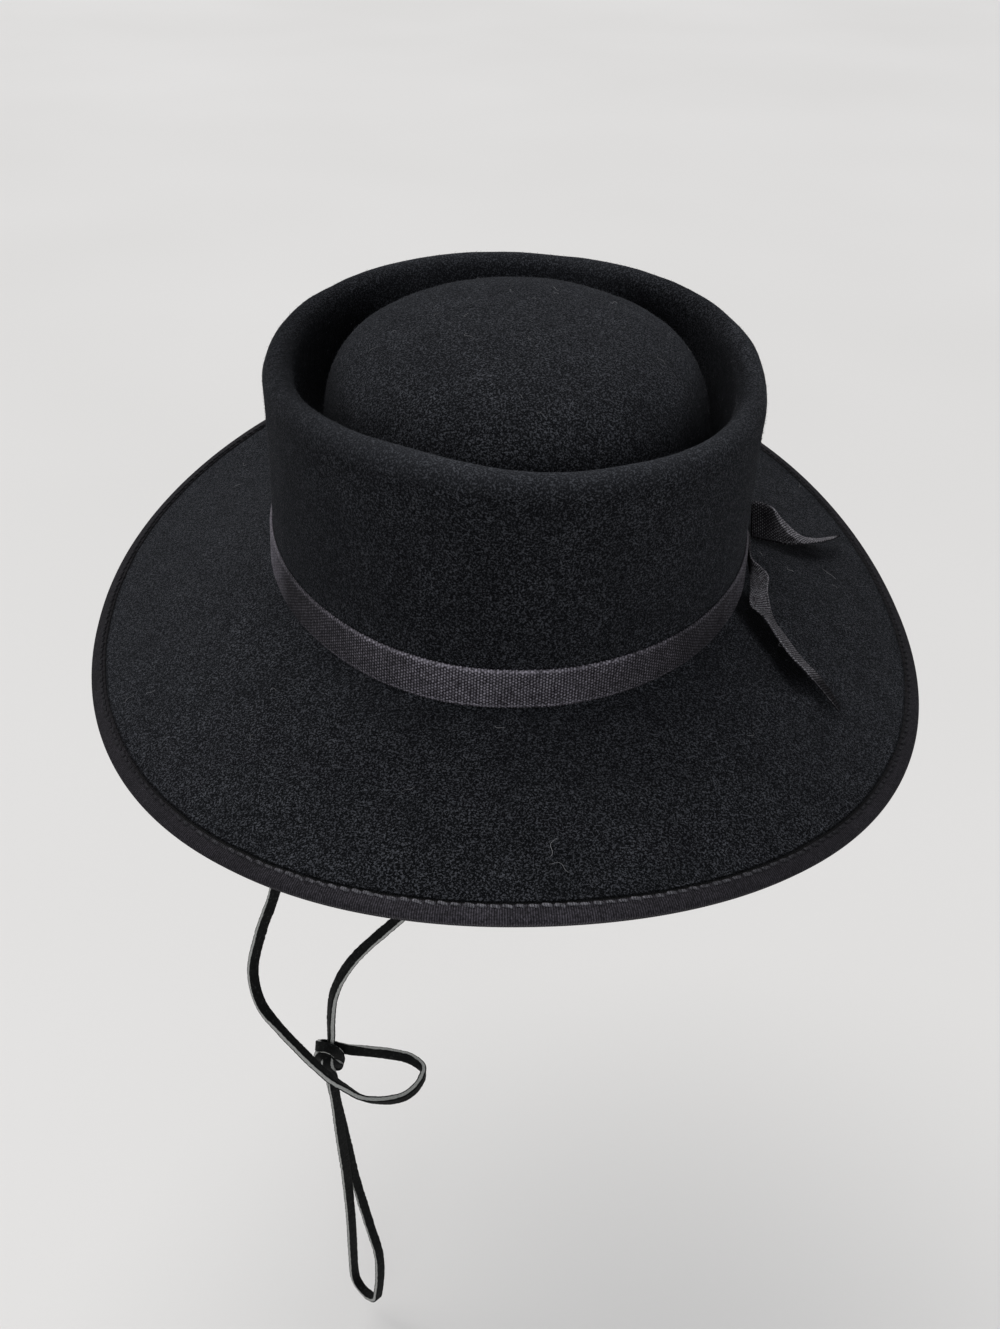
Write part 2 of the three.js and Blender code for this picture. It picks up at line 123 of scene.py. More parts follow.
# Knot, as seen by the camera: right, up, forward of the knot's middle (model y),
# the way the cut side faces (right, up, away), and how far the section splays.
KNOT_MIDDLE = (-77.0, -49.6, -228.6)
KNOT = [
    (7.1, 2.8, 1.6, (0.0, 1.0, 0.1), 0.0), (3.4, 3.6, 2.8, (0.0, 1.0, 0.2), 0.0), (-0.8, 4.7, 3.3, (0.0, 1.0, 0.1), 0.0),
    (-3.8, 5.7, 1.7, (-0.1, 1.0, 0.2), 0.0), (-4.8, 6.1, -0.7, (0.0, 1.0, 0.4), 0.0), (-3.4, 6.3, -2.9, (0.0, 1.0, 0.6), 0.0),
    (-0.8, 6.2, -3.9, (0.15, 1.0, 0.6), 0.0), (1.9, 4.7, -3.6, (0.7, 0.7, 0.55), 0.0), (3.7, 2.0, -2.5, (1.0, 0.2, 0.55), 0.0),
    (4.0, -0.9, -1.2, (1.0, -0.1, 0.5), 0.0), (3.1, -3.2, 0.6, (0.8, -0.6, 0.1), 0.0), (0.4, -4.6, 2.6, (0.0, -1.0, 0.0), 0.0),
    (-3.0, -3.8, 1.6, (-0.4, -0.9, 0.0), 0.0), (-4.8, -2.4, -1.4, (-1.0, 0.0, 0.0), 0.15), (-4.6, 0.4, -3.1, (-1.0, 0.35, -0.1), 0.28),
    (-3.7, 2.1, -4.0, (-0.7, 0.8, -0.1), 0.28), (-2.6, 2.6, -4.2, (0.0, 1.0, -0.1), 0.28), (-1.4, 2.0, -4.2, (0.6, 0.8, -0.1), 0.28),
    (0.3, 0.1, -3.9, (0.8, 0.6, -0.15), 0.28), (2.1, -2.2, -3.2, (0.85, 0.5, -0.15), 0.28), (3.1, -4.2, -1.4, (0.9, 0.3, 0.0), 0.1),
    (2.0, -5.5, 1.0, (0.4, -0.9, 0.0), 0.0), (0.0, -4.6, 2.9, (-0.3, -0.9, 0.0), 0.0), (-1.3, -1.6, 3.1, (-1.0, -0.1, 0.0), 0.0),
    (-1.1, 1.6, 1.8, (-1.0, 0.0, 0.0), 0.0), (-0.9, 3.0, -1.2, (-1.0, 0.0, 0.0), -0.1), (-0.8, 1.0, -4.6, (-1.0, 0.0, -0.1), -0.34),
    (-1.0, -1.2, -5.9, (-1.0, 0.0, -0.1), -0.36), (-0.9, -3.4, -5.4, (-1.0, 0.1, -0.15), -0.34), (-0.5, -5.8, -3.9, (-1.0, 0.1, -0.3), -0.15),
    (0.2, -8.6, -3.3, (-0.9, 0.1, -0.5), 0.0),
]
LACE_BIGHT = [
    ((-76.3, -53.0, -248.8), (-0.77, -0.64, 0.0)),
    ((-75.3, -52.3, -278.2), (-0.77, -0.64, 0.0)),
    ((-74.0, -51.0, -311.6), (-0.77, -0.64, 0.0)),
    ((-73.6, -48.8, -348.4), (-0.77, -0.64, 0.0)),
    ((-74.1, -46.2, -382.0), (-0.77, -0.64, 0.0)),
    ((-74.2, -45.5, -401.7), (-0.77, -0.64, 0.0)),
    ((-73.4, -46.2, -407.2), (-0.77, -0.64, 0.0)),
    ((-71.2, -48.4, -410.5), (-0.77, -0.64, 0.0)),
    ((-68.1, -51.4, -411.7), (-0.77, -0.64, 0.0)),
    ((-65.0, -54.4, -410.5), (-0.77, -0.64, 0.0)),
    ((-62.8, -56.6, -407.2), (-0.77, -0.64, 0.0)),
    ((-61.9, -57.4, -401.7), (-0.77, -0.64, 0.0)),
    ((-60.4, -57.7, -385.0), (-0.77, -0.64, 0.0)),
    ((-60.6, -56.6, -368.0), (-0.77, -0.64, 0.0)),
    ((-64.0, -53.2, -352.0), (-0.77, -0.64, 0.0)),
    ((-67.5, -50.0, -334.8), (-0.77, -0.64, 0.0)),
    ((-70.3, -48.0, -319.2), (-0.77, -0.64, 0.0)),
    ((-72.4, -46.9, -301.5), (-0.77, -0.64, 0.0)),
    ((-75.0, -46.8, -276.8), (-0.77, -0.64, 0.0)),
    ((-77.1, -47.6, -255.7), (-0.77, -0.64, 0.0)),
    ((-77.9, -48.4, -244.9), (-0.77, -0.64, 0.0)),
]
LACE_CORE = [((-77.6, -48.6, -236.0), (-0.4, -0.9, 0.0)), ((-77.0, -49.4, -228.6), (0.0, -1.0, 0.0)),
             ((-76.6, -49.0, -221.0), (0.2, -1.0, 0.0))]
LACE_RIGHT = [
    ((-76.2, -48.4, -215.0), (0.3, -0.95, 0.0)), ((-75.8, -48.0, -206.0), (0.35, -0.94, 0.0)),
    ((-73.4, -47.4, -190.0), (0.45, -0.89, 0.0)), ((-65.4, -46.2, -173.4), (0.6, -0.8, 0.0)),
    ((-44.0, -44.2, -150.0), (0.6, -0.7, 0.3)), ((8.0, -40.4, -98.0), (0.4, -0.6, -0.3)),
    ((60.0, -35.6, -38.0), (0.8, -0.3, -0.4)), ((76.4, -33.4, -12.0), (1.0, -0.1, -0.3)),
    ((78.2, -32.8, 4.0), (1.0, -0.1, 0.0)),
]
LACE_WIDE, LACE_DEEP = 4.3, 2.6


# ------------------------------------------------------------------ shape of the hat
def wave(table, a):
    return sum(c * np.cos(k * a) + s * np.sin(k * a) for k, c, s in table)


def bend(v, p):
    return np.sign(v) * np.abs(v) ** (2.0 / p)


def oval(o, waves, a):
    c, s, r = np.cos(a), np.sin(a), wave(waves, a)
    x = o["x"] + o["half"] * bend(c, o["power"]) * (1 + o["egg"] * s) + r * c
    y = o["y"] + o["half"] * o["ratio"] * bend(s, o["power"]) + r * s
    return np.stack([x, y, np.zeros_like(x)], -1)


def base_point(a):
    p = oval(BASE, BASE_WAVES, a)
    p[..., 2] = wave(BASE_HEIGHT, a)
    return p


def rim_point(a):
    p = oval(RIM, RIM_WAVES, a)
    p[..., 2] = RIM_Z + wave(RIM_HEIGHT, a)
    return p


def outward(curve, a):
    t = curve(a + 0.002) - curve(a - 0.002)
    n = np.stack([t[..., 1], -t[..., 0], np.zeros_like(t[..., 0])], -1)
    return n / np.linalg.norm(n, axis=-1, keepdims=True)


def wall_point(a, f):
    low = base_point(a) - WALL_INSET * outward(base_point, a)
    high = rim_point(a) + RIM_ROLL * outward(rim_point, a)
    f = np.asarray(f, float)[..., None] if np.ndim(f) else f
    return low + (high - low) * f - outward(base_point, a) * WALL_HOLLOW * 4 * f * (1 - f)


def brim_point(a, t, lift=0.0):
    n = outward(base_point, a)
    droop = np.radians(wave(BRIM_DROOP, a))
    w = wave(BRIM_WIDTH, a) * t
    up = lift + 4 * BRIM_ARCH * t * (1 - t)
    p = base_point(a) + n * (np.cos(droop) * w + np.sin(droop) * up)[..., None]
    p[..., 2] += np.cos(droop) * up - np.sin(droop) * w
    return p


def dome_point(a, degrees):
    e = math.radians(degrees)
    r = math.cos(e) ** (2 / DOME["profile"]) * (1 + DOME["lobe"] * np.sin(3 * a))
    z = DOME["foot"] + (DOME["top"] - DOME["foot"]) * math.sin(e) ** (2 / DOME["crown"])
    return np.stack([DOME["x"] + DOME["hx"] * r * np.cos(a), DOME["y"] + DOME["hy"] * r * np.sin(a),
                     np.full_like(a, z)], -1)


def spline(points, t):
    """Centripetal Catmull-Rom curve through the points, at t from 0 to len - 1."""
    p = np.asarray(points, float)
    p = np.vstack([2 * p[0] - p[1], p, 2 * p[-1] - p[-2]])
    i = np.clip(np.floor(t).astype(int), 0, len(p) - 4)
    u = (t - i)[:, None]
    p0, p1, p2, p3 = p[i], p[i + 1], p[i + 2], p[i + 3]
    d = [np.maximum(np.linalg.norm(b[:, :3] - a[:, :3], axis=1), 1e-6)[:, None] ** 0.5
         for a, b in ((p0, p1), (p1, p2), (p2, p3))]
    m1 = (p1 - p0) / d[0] - (p2 - p0) / (d[0] + d[1]) + (p2 - p1) / d[1]
    m2 = (p2 - p1) / d[1] - (p3 - p1) / (d[1] + d[2]) + (p3 - p2) / d[2]
    m1, m2 = m1 * d[1], m2 * d[1]
    return (2 * u**3 - 3 * u**2 + 1) * p1 + (u**3 - 2 * u**2 + u) * m1 \
        + (-2 * u**3 + 3 * u**2) * p2 + (u**3 - u**2) * m2


def evenly(points, step):
    """Dense curve through the points with steps of about the given length."""
    q = spline(points, np.linspace(0, len(points) - 1, 40 * (len(points) - 1) + 1))
    s = np.concatenate([[0], np.cumsum(np.linalg.norm(np.diff(q[:, :3], axis=0), axis=1))])
    k = np.linspace(0, s[-1], max(2, int(round(s[-1] / step))) + 1)
    return np.stack([np.interp(k, s, q[:, c]) for c in range(q.shape[1])], 1), k


def unit(v):
    return v / np.maximum(np.linalg.norm(v, axis=-1, keepdims=True), 1e-9)


def fbm(p, size, seed, octaves=2):
    """Smooth noise of the given feature size, for points in millimetres."""
    off = Vector((seed * 17.3, seed * 5.1, seed * 9.7))
    return np.array([noise.fractal(Vector(q) / size + off, 1.0, 2.0, octaves) for q in p.reshape(-1, 3)]).reshape(p.shape[:-1])


# ------------------------------------------------------------------ mesh making
def grid_faces(m, n, loop_n, loop_m=False):
    j = np.arange(m if loop_m else m - 1)
    i = np.arange(n if loop_n else n - 1)
    jj, ii = np.meshgrid(j, i, indexing="ij")
    q, k = (jj + 1) % m, (ii + 1) % n
    return np.stack([jj * n + ii, jj * n + k, q * n + k, q * n + ii], -1).reshape(-1, 4)


def make(name, verts, quads=None, tris=None, uv=None, slot=None, materials=(), index=None, smooth=True, replaces=(), sharp=None):
    """A mesh object from arrays in millimetres, riding on the hat."""
    me = bpy.data.meshes.new(name)
    loops, sizes = [], []
    for f in (quads, tris):
        if f is not None and len(f):
            loops.append(np.asarray(f).reshape(-1)); sizes.append(np.full(len(f), np.asarray(f).shape[1]))
    loops, sizes = np.concatenate(loops), np.concatenate(sizes)
    me.vertices.add(len(verts))
    me.vertices.foreach_set("co", (np.asarray(verts, float) * MM).astype(np.float32).ravel())
    me.loops.add(len(loops))
    me.loops.foreach_set("vertex_index", loops.astype(np.int32))
    me.polygons.add(len(sizes))
    me.polygons.foreach_set("loop_start", np.concatenate([[0], np.cumsum(sizes)[:-1]]).astype(np.int32))
    me.polygons.foreach_set("loop_total", sizes.astype(np.int32))
    me.polygons.foreach_set("use_smooth", np.full(len(sizes), smooth))
    if index is not None:
        me.polygons.foreach_set("material_index", np.asarray(index, np.int32))
    if uv is not None:
        layer = me.uv_layers.new(name="UVMap")
        layer.data.foreach_set("uv", np.asarray(uv, np.float32).ravel())
    me.update(calc_edges=True)
    me.validate()
    at, volume = np.asarray(verts, float), 0.0
    for f in (quads, tris):
        if f is not None and len(f):
            f = np.asarray(f)
            for k in range(1, f.shape[1] - 1):
                volume += (at[f[:, 0]] * np.cross(at[f[:, k]], at[f[:, k + 1]])).sum()
    if volume < 0:           # every face looks outward
        me.flip_normals()
    o = bpy.data.objects.new(name, me)
    bpy.context.scene.collection.objects.link(o)
    for m in materials:
        me.materials.append(m)
    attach(o, "root")
    if replaces:
        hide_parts(*replaces)
    return o


def hoop(name, rings, u, v, **kw):
    """Closed ring of closed sections. rings[section row][angle]; u along, v round the section."""
    m, n = rings.shape[:2]
    quads = grid_faces(m, n, True, True)
    jj, ii = np.meshgrid(np.arange(m), np.arange(n), indexing="ij")
    uu = np.append(u, u[-1] + (u[-1] - u[-2])); vv = np.append(v, v[-1] + (v[-1] - v[-2]))
    uv = np.stack([np.stack([uu[ii], vv[jj]], -1), np.stack([uu[ii + 1], vv[jj]], -1),
                   np.stack([uu[ii + 1], vv[jj + 1]], -1), np.stack([uu[ii], vv[jj + 1]], -1)], 2)
    return make(name, rings.reshape(-1, 3), quads=quads, uv=uv.reshape(-1, 2), **kw)


def strip(name, rings, u, v, caps=True, **kw):
    """Open run of closed sections. rings[step][point of the section]."""
    m, n = rings.shape[:2]
    quads = grid_faces(m, n, True, False)[:, ::-1]
    jj, ii = np.meshgrid(np.arange(m - 1), np.arange(n), indexing="ij")
    vv = np.append(v, v[-1] + (v[-1] - v[-2]))
    uv = np.stack([np.stack([u[jj + 1], vv[ii]], -1), np.stack([u[jj + 1], vv[ii + 1]], -1),
                   np.stack([u[jj], vv[ii + 1]], -1), np.stack([u[jj], vv[ii]], -1)], 2).reshape(-1, 2)
    verts = rings.reshape(-1, 3)
    c0, c1 = rings[0].mean(0), rings[-1].mean(0)
    verts = np.vstack([verts, c0, c1])
    k = np.arange(n)
    tris = np.concatenate([np.stack([np.full(n, m * n), k, (k + 1) % n], 1),
                           np.stack([np.full(n, m * n + 1), (m - 1) * n + (k + 1) % n, (m - 1) * n + k], 1)])
    uvt = np.zeros((len(tris) * 3, 2))
    uvt[:, 0], uvt[:, 1] = u[0], v[n // 4]
    return make(name, verts, quads=quads, tris=tris, uv=np.vstack([uv, uvt]), **kw)


# ------------------------------------------------------------------ materials
class Nodes:
    def __init__(self, name):
        self.m = bpy.data.materials.new(name)
        self.m.use_nodes = True
        self.t = self.m.node_tree
        self.t.nodes.clear()
        self.out = self.t.nodes.new("ShaderNodeOutputMaterial")
        self.shader = self.t.nodes.new("ShaderNodeBsdfPrincipled")
        self.t.links.new(self.shader.outputs[0], self.out.inputs[0])

    def link(self, a, b):
        self.t.links.new(a, b)

    def put(self, sock, v):
        if isinstance(v, bpy.types.NodeSocket):
            self.t.links.new(v, sock)
        elif v is not None:
            sock.default_value = v

    def set(self, **kw):
        for k, v in kw.items():
            self.put(self.shader.inputs[k.replace("_", " ")], v)

    def object(self):
        return self.t.nodes.new("ShaderNodeTexCoord").outputs["Object"]

    def uv(self):
        n = self.t.nodes.new("ShaderNodeUVMap")
        n.uv_map = "UVMap"
        s = self.t.nodes.new("ShaderNodeSeparateXYZ")
        self.link(n.outputs[0], s.inputs[0])
        return s.outputs[0], s.outputs[1], n.outputs[0]

    def scaled(self, vec, scale):
        n = self.t.nodes.new("ShaderNodeMapping")
        n.inputs["Scale"].default_value = scale
        self.link(vec, n.inputs[0])
        return n.outputs[0]

    def split(self, vec):
        s = self.t.nodes.new("ShaderNodeSeparateXYZ")
        self.link(vec, s.inputs[0])
        return s.outputs

    def noise(self, vec, scale, detail=2.0, rough=0.5, warp=0.0):
        n = self.t.nodes.new("ShaderNodeTexNoise")
        n.inputs["Scale"].default_value = scale
        n.inputs["Detail"].default_value = detail
        n.inputs["Roughness"].default_value = rough
        n.inputs["Distortion"].default_value = warp
        self.link(vec, n.inputs["Vector"])
        return n.outputs[0]

    def math(self, op, a, b=None, c=None, clamp=False):
        n = self.t.nodes.new("ShaderNodeMath")
        n.operation, n.use_clamp = op, clamp
        for s, v in zip(n.inputs, (a, b, c)):
            if v is not None:
                self.put(s, v)
        return n.outputs[0]

    def between(self, v, low, high, to_low=0.0, to_high=1.0):
        n = self.t.nodes.new("ShaderNodeMapRange")
        n.inputs["From Min"].default_value, n.inputs["From Max"].default_value = low, high
        n.inputs["To Min"].default_value, n.inputs["To Max"].default_value = to_low, to_high
        self.link(v, n.inputs["Value"])
        return n.outputs[0]

    def mix(self, f, a, b):
        n = self.t.nodes.new("ShaderNodeMix")
        n.data_type = "RGBA"
        self.put(n.inputs["Factor"], f)
        self.put(n.inputs["A"], a)
        self.put(n.inputs["B"], b)
        return n.outputs["Result"]

    def bump(self, height, distance, strength=1.0, normal=None):
        n = self.t.nodes.new("ShaderNodeBump")
        n.inputs["Strength"].default_value = strength
        n.inputs["Distance"].default_value = distance
        self.link(height, n.inputs["Height"])
        if normal is not None:
            self.link(normal, n.inputs["Normal"])
        self.link(n.outputs[0], self.shader.inputs["Normal"])
        return n.outputs[0]


def rgb(r, g, b):
    return (r, g, b, 1.0)


def felt_material():
    n = Nodes("felt")
    p = n.object()
    hair = n.noise(p, 760.0, 2.0, 0.6, 2.0)
    line = n.between(n.math("ABSOLUTE", n.math("SUBTRACT", hair, 0.5)), 0.0, 0.022, 1.0, 0.0)
    fleck = n.between(n.noise(p, 1750.0, 1.0, 0.5, 0.4), 0.50, 0.63)
    fine = n.between(n.noise(p, 520.0, 2.0, 0.6), 0.35, 0.65)
    patch = n.between(n.noise(p, 75.0, 4.0, 0.62), 0.32, 0.68)
    broad = n.between(n.noise(p, 13.0, 2.0, 0.5), 0.3, 0.7)
    light = n.math("ADD", n.math("MULTIPLY", line, 0.36), n.math("MULTIPLY", fleck, n.math("MULTIPLY_ADD", fine, 0.35, 0.55)))
    light = n.math("MULTIPLY", light, n.math("MULTIPLY_ADD", patch, 0.34, 0.60))
    x, y, z = n.split(p)
    oval_ = n.math("ADD", n.math("POWER", n.math("ABSOLUTE", n.math("DIVIDE", x, 0.0835)), 2.0), n.math("POWER", n.math("ABSOLUTE", n.math("DIVIDE", y, 0.0965)), 2.0))
    # painted shade: the trench between the rim and the dome, and its flanks, darkened towards black
    trench_shade = n.math("MULTIPLY", n.between(oval_, 0.86, 0.97, 1.0, 0.0), n.between(z, 0.050, 0.071, 1.0, 0.0))
    trench_shade = n.math("MULTIPLY", trench_shade, n.between(oval_, 0.45, 0.66))
    # painted highlight on the front of the rim's roll
    rim_highlight = n.math("MULTIPLY", n.between(oval_, 0.78, 0.95), n.between(z, 0.071, 0.079))
    rim_highlight = n.math("MULTIPLY", rim_highlight, n.between(y, 0.02, -0.07, 0.15, 1.0))
    # painted light on the inner face of the rim at the back
    back_wall_light = n.math("MULTIPLY", n.between(y, 0.062, 0.080), n.between(z, 0.064, 0.074))
    light = n.math("ADD", light, n.math("ADD", n.math("MULTIPLY", back_wall_light, 0.10), n.math("MULTIPLY", rim_highlight, 0.235)))
    flank_trench_shade = n.math("MULTIPLY", n.between(n.math("ABSOLUTE", x), 0.040, 0.058), n.math("MULTIPLY", n.between(oval_, 0.50, 0.66), n.between(oval_, 0.90, 0.97, 1.0, 0.0)))
    trench_shade = n.math("MAXIMUM", trench_shade, n.math("MULTIPLY", flank_trench_shade, n.between(z, 0.066, 0.079, 1.0, 0.0)))
    outside = n.between(n.uv()[1], -2.0, 0.0)
    trench_shade = n.math("MULTIPLY", trench_shade, outside)
    light = n.math("MULTIPLY", light, n.math("MULTIPLY_ADD", trench_shade, -0.75, 1.0))
    # painted shade on the crown wall, deeper towards the sides and most at the left, with a narrow painted highlight
    # along its right edge
    wall = n.math("MULTIPLY", n.between(oval_, 0.80, 0.90), n.between(z, 0.010, 0.020))
    side_shade_and_edge_light = n.math("MULTIPLY", n.between(x, -0.076, -0.030, 0.48, 0.88), n.between(x, 0.045, 0.078, 1.0, 0.78))
    side_shade_and_edge_light = n.math("ADD", side_shade_and_edge_light, n.between(x, 0.0800, 0.0835, 0.0, 0.40))
    light = n.math("MULTIPLY", light, n.math("MULTIPLY_ADD", wall, n.math("SUBTRACT", side_shade_and_edge_light, 1.0), 1.0))
    # painted light on the top of the dome
    dome_top_light = n.math("MULTIPLY", n.between(oval_, 0.62, 0.80, 1.0, 0.0), n.between(z, 0.060, 0.088))
    # painted light on the brim at the sides and back, fading towards the front and held back at the right front
    brim_side_light = n.math("MULTIPLY", n.between(z, 0.004, 0.008, 1.0, 0.0), n.between(y, -0.125, -0.060))
    right = n.math("MULTIPLY", n.between(x, 0.075, 0.095), n.between(y, -0.060, -0.020))
    brim_side_light = n.math("MULTIPLY", brim_side_light, n.math("MULTIPLY_ADD", right, -2.6, 1.0))
    light = n.math("ADD", light, n.math("ADD", n.math("MULTIPLY", dome_top_light, 0.038), n.math("MULTIPLY", brim_side_light, 0.030)))
    tone = n.mix(broad, rgb(0.0024, 0.0026, 0.0031), rgb(0.0038, 0.0041, 0.0048))
    colour = n.mix(n.math("MINIMUM", light, 1.0), tone, rgb(0.085, 0.089, 0.101))
    # painted shadow on the brim where the lower free end of the band lies over it
    lx, ly = n.math("SUBTRACT", x, 0.0978), n.math("ADD", y, 0.0732)
    off = n.math("ABSOLUTE", n.math("ADD", n.math("ADD", n.math("MULTIPLY", lx, 0.892), n.math("MULTIPLY", ly, 0.451)), 0.0040))
    run = n.math("SUBTRACT", n.math("MULTIPLY", lx, 0.451), n.math("MULTIPLY", ly, 0.892))
    lower_end_shadow = n.math("MULTIPLY", n.between(off, 0.0042, 0.0070, 1.0, 0.0), n.math("MULTIPLY", n.between(run, 0.000, 0.009, 1.0, 0.0), n.between(run, -0.054, -0.044)))
    lower_end_shadow = n.math("MULTIPLY", lower_end_shadow, n.math("MULTIPLY", outside, n.between(z, 0.004, 0.007, 1.0, 0.0)))
    # painted shadow on the brim under the upper free end too
    bow = n.math("SUBTRACT", n.math("MULTIPLY", x, 1000.0), 104.0)
    bow = n.math("SUBTRACT", n.math("MULTIPLY", y, 1000.0), n.math("MULTIPLY_ADD", n.math("MULTIPLY", bow, bow), 0.0215, 4.3))
    upper_end_shadow = n.math("MULTIPLY", n.math("MULTIPLY", n.between(bow, -3.6, -1.2), n.between(bow, 8.0, 12.0, 1.0, 0.0)),
                         n.math("MULTIPLY", n.between(x, 0.090, 0.096), n.between(x, 0.122, 0.134, 1.0, 0.0)))
    upper_end_shadow = n.math("MULTIPLY", upper_end_shadow, n.math("MULTIPLY", outside, n.between(z, 0.004, 0.007, 1.0, 0.0)))
    lower_end_shadow = n.math("MAXIMUM", lower_end_shadow, n.math("MULTIPLY", upper_end_shadow, 0.85))
    # painted shade: the trench and the brim under the free ends go near black
    colour = n.mix(n.math("MAXIMUM", n.math("MULTIPLY", lower_end_shadow, 0.95), n.math("MULTIPLY", trench_shade, 0.93)), colour, rgb(0.0005, 0.0005, 0.0006))
    # painted shade in the groove along the binding's inner hem, darker at the front
    seam_shade = n.math("MULTIPLY", n.between(n.math("ABSOLUTE", n.math("SUBTRACT", n.uv()[1], 6.90)), 0.20, 0.58, 1.0, 0.0), n.between(y, -0.120, -0.060, 1.0, 0.55))
    colour = n.mix(n.math("MULTIPLY", seam_shade, 0.9), colour, rgb(0.0006, 0.0006, 0.0007))
    n.set(Base_Color=colour, Roughness=0.95, Sheen_Weight=0.038, Sheen_Roughness=0.4, Sheen_Tint=rgb(0.80, 0.84, 0.95))
    n.put(n.shader.inputs["Specular IOR Level"], 0.02)
    nap = n.math("ADD", n.math("MULTIPLY", n.noise(p, 1300.0, 2.0, 0.65, 0.6), 0.8), n.math("MULTIPLY", line, 0.22))
    soft = n.noise(p, 170.0, 3.0, 0.55)
    b = n.bump(soft, 0.0014, 0.5)
    n.bump(nap, 0.0009, 0.9, b)
    return n.m


def nap_material():
    n = Nodes("felt_nap")
    p = n.object()
    shade = n.between(n.noise(p, 300.0, 2.0, 0.6), 0.35, 0.7)
    n.set(Base_Color=n.mix(shade, rgb(0.014, 0.015, 0.017), rgb(0.110, 0.112, 0.122)), Roughness=0.8)
    n.put(n.shader.inputs["Specular IOR Level"], 0.03)
    return n.m


def lint_material():
    n = Nodes("felt_lint")
    p = n.object()
    n.set(Base_Color=n.mix(n.between(n.noise(p, 60.0, 2.0, 0.6), 0.35, 0.65), rgb(0.10, 0.10, 0.105), rgb(0.30, 0.30, 0.31)), Roughness=0.7)
    n.put(n.shader.inputs["Specular IOR Level"], 0.1)
    return n.m


def front_painted_light(n, p, low, near=0.012, far=0.080):
    """Painted light: 1 in the middle of the front, falling to low towards the sides and the back."""
    x, y, z = n.split(p)
    across = n.between(n.math("ABSOLUTE", n.math("ADD", x, 0.012)), near, far, 1.0, low)
    return n.math("MULTIPLY", across, n.between(y, -0.020, -0.080, 0.7, 1.0))


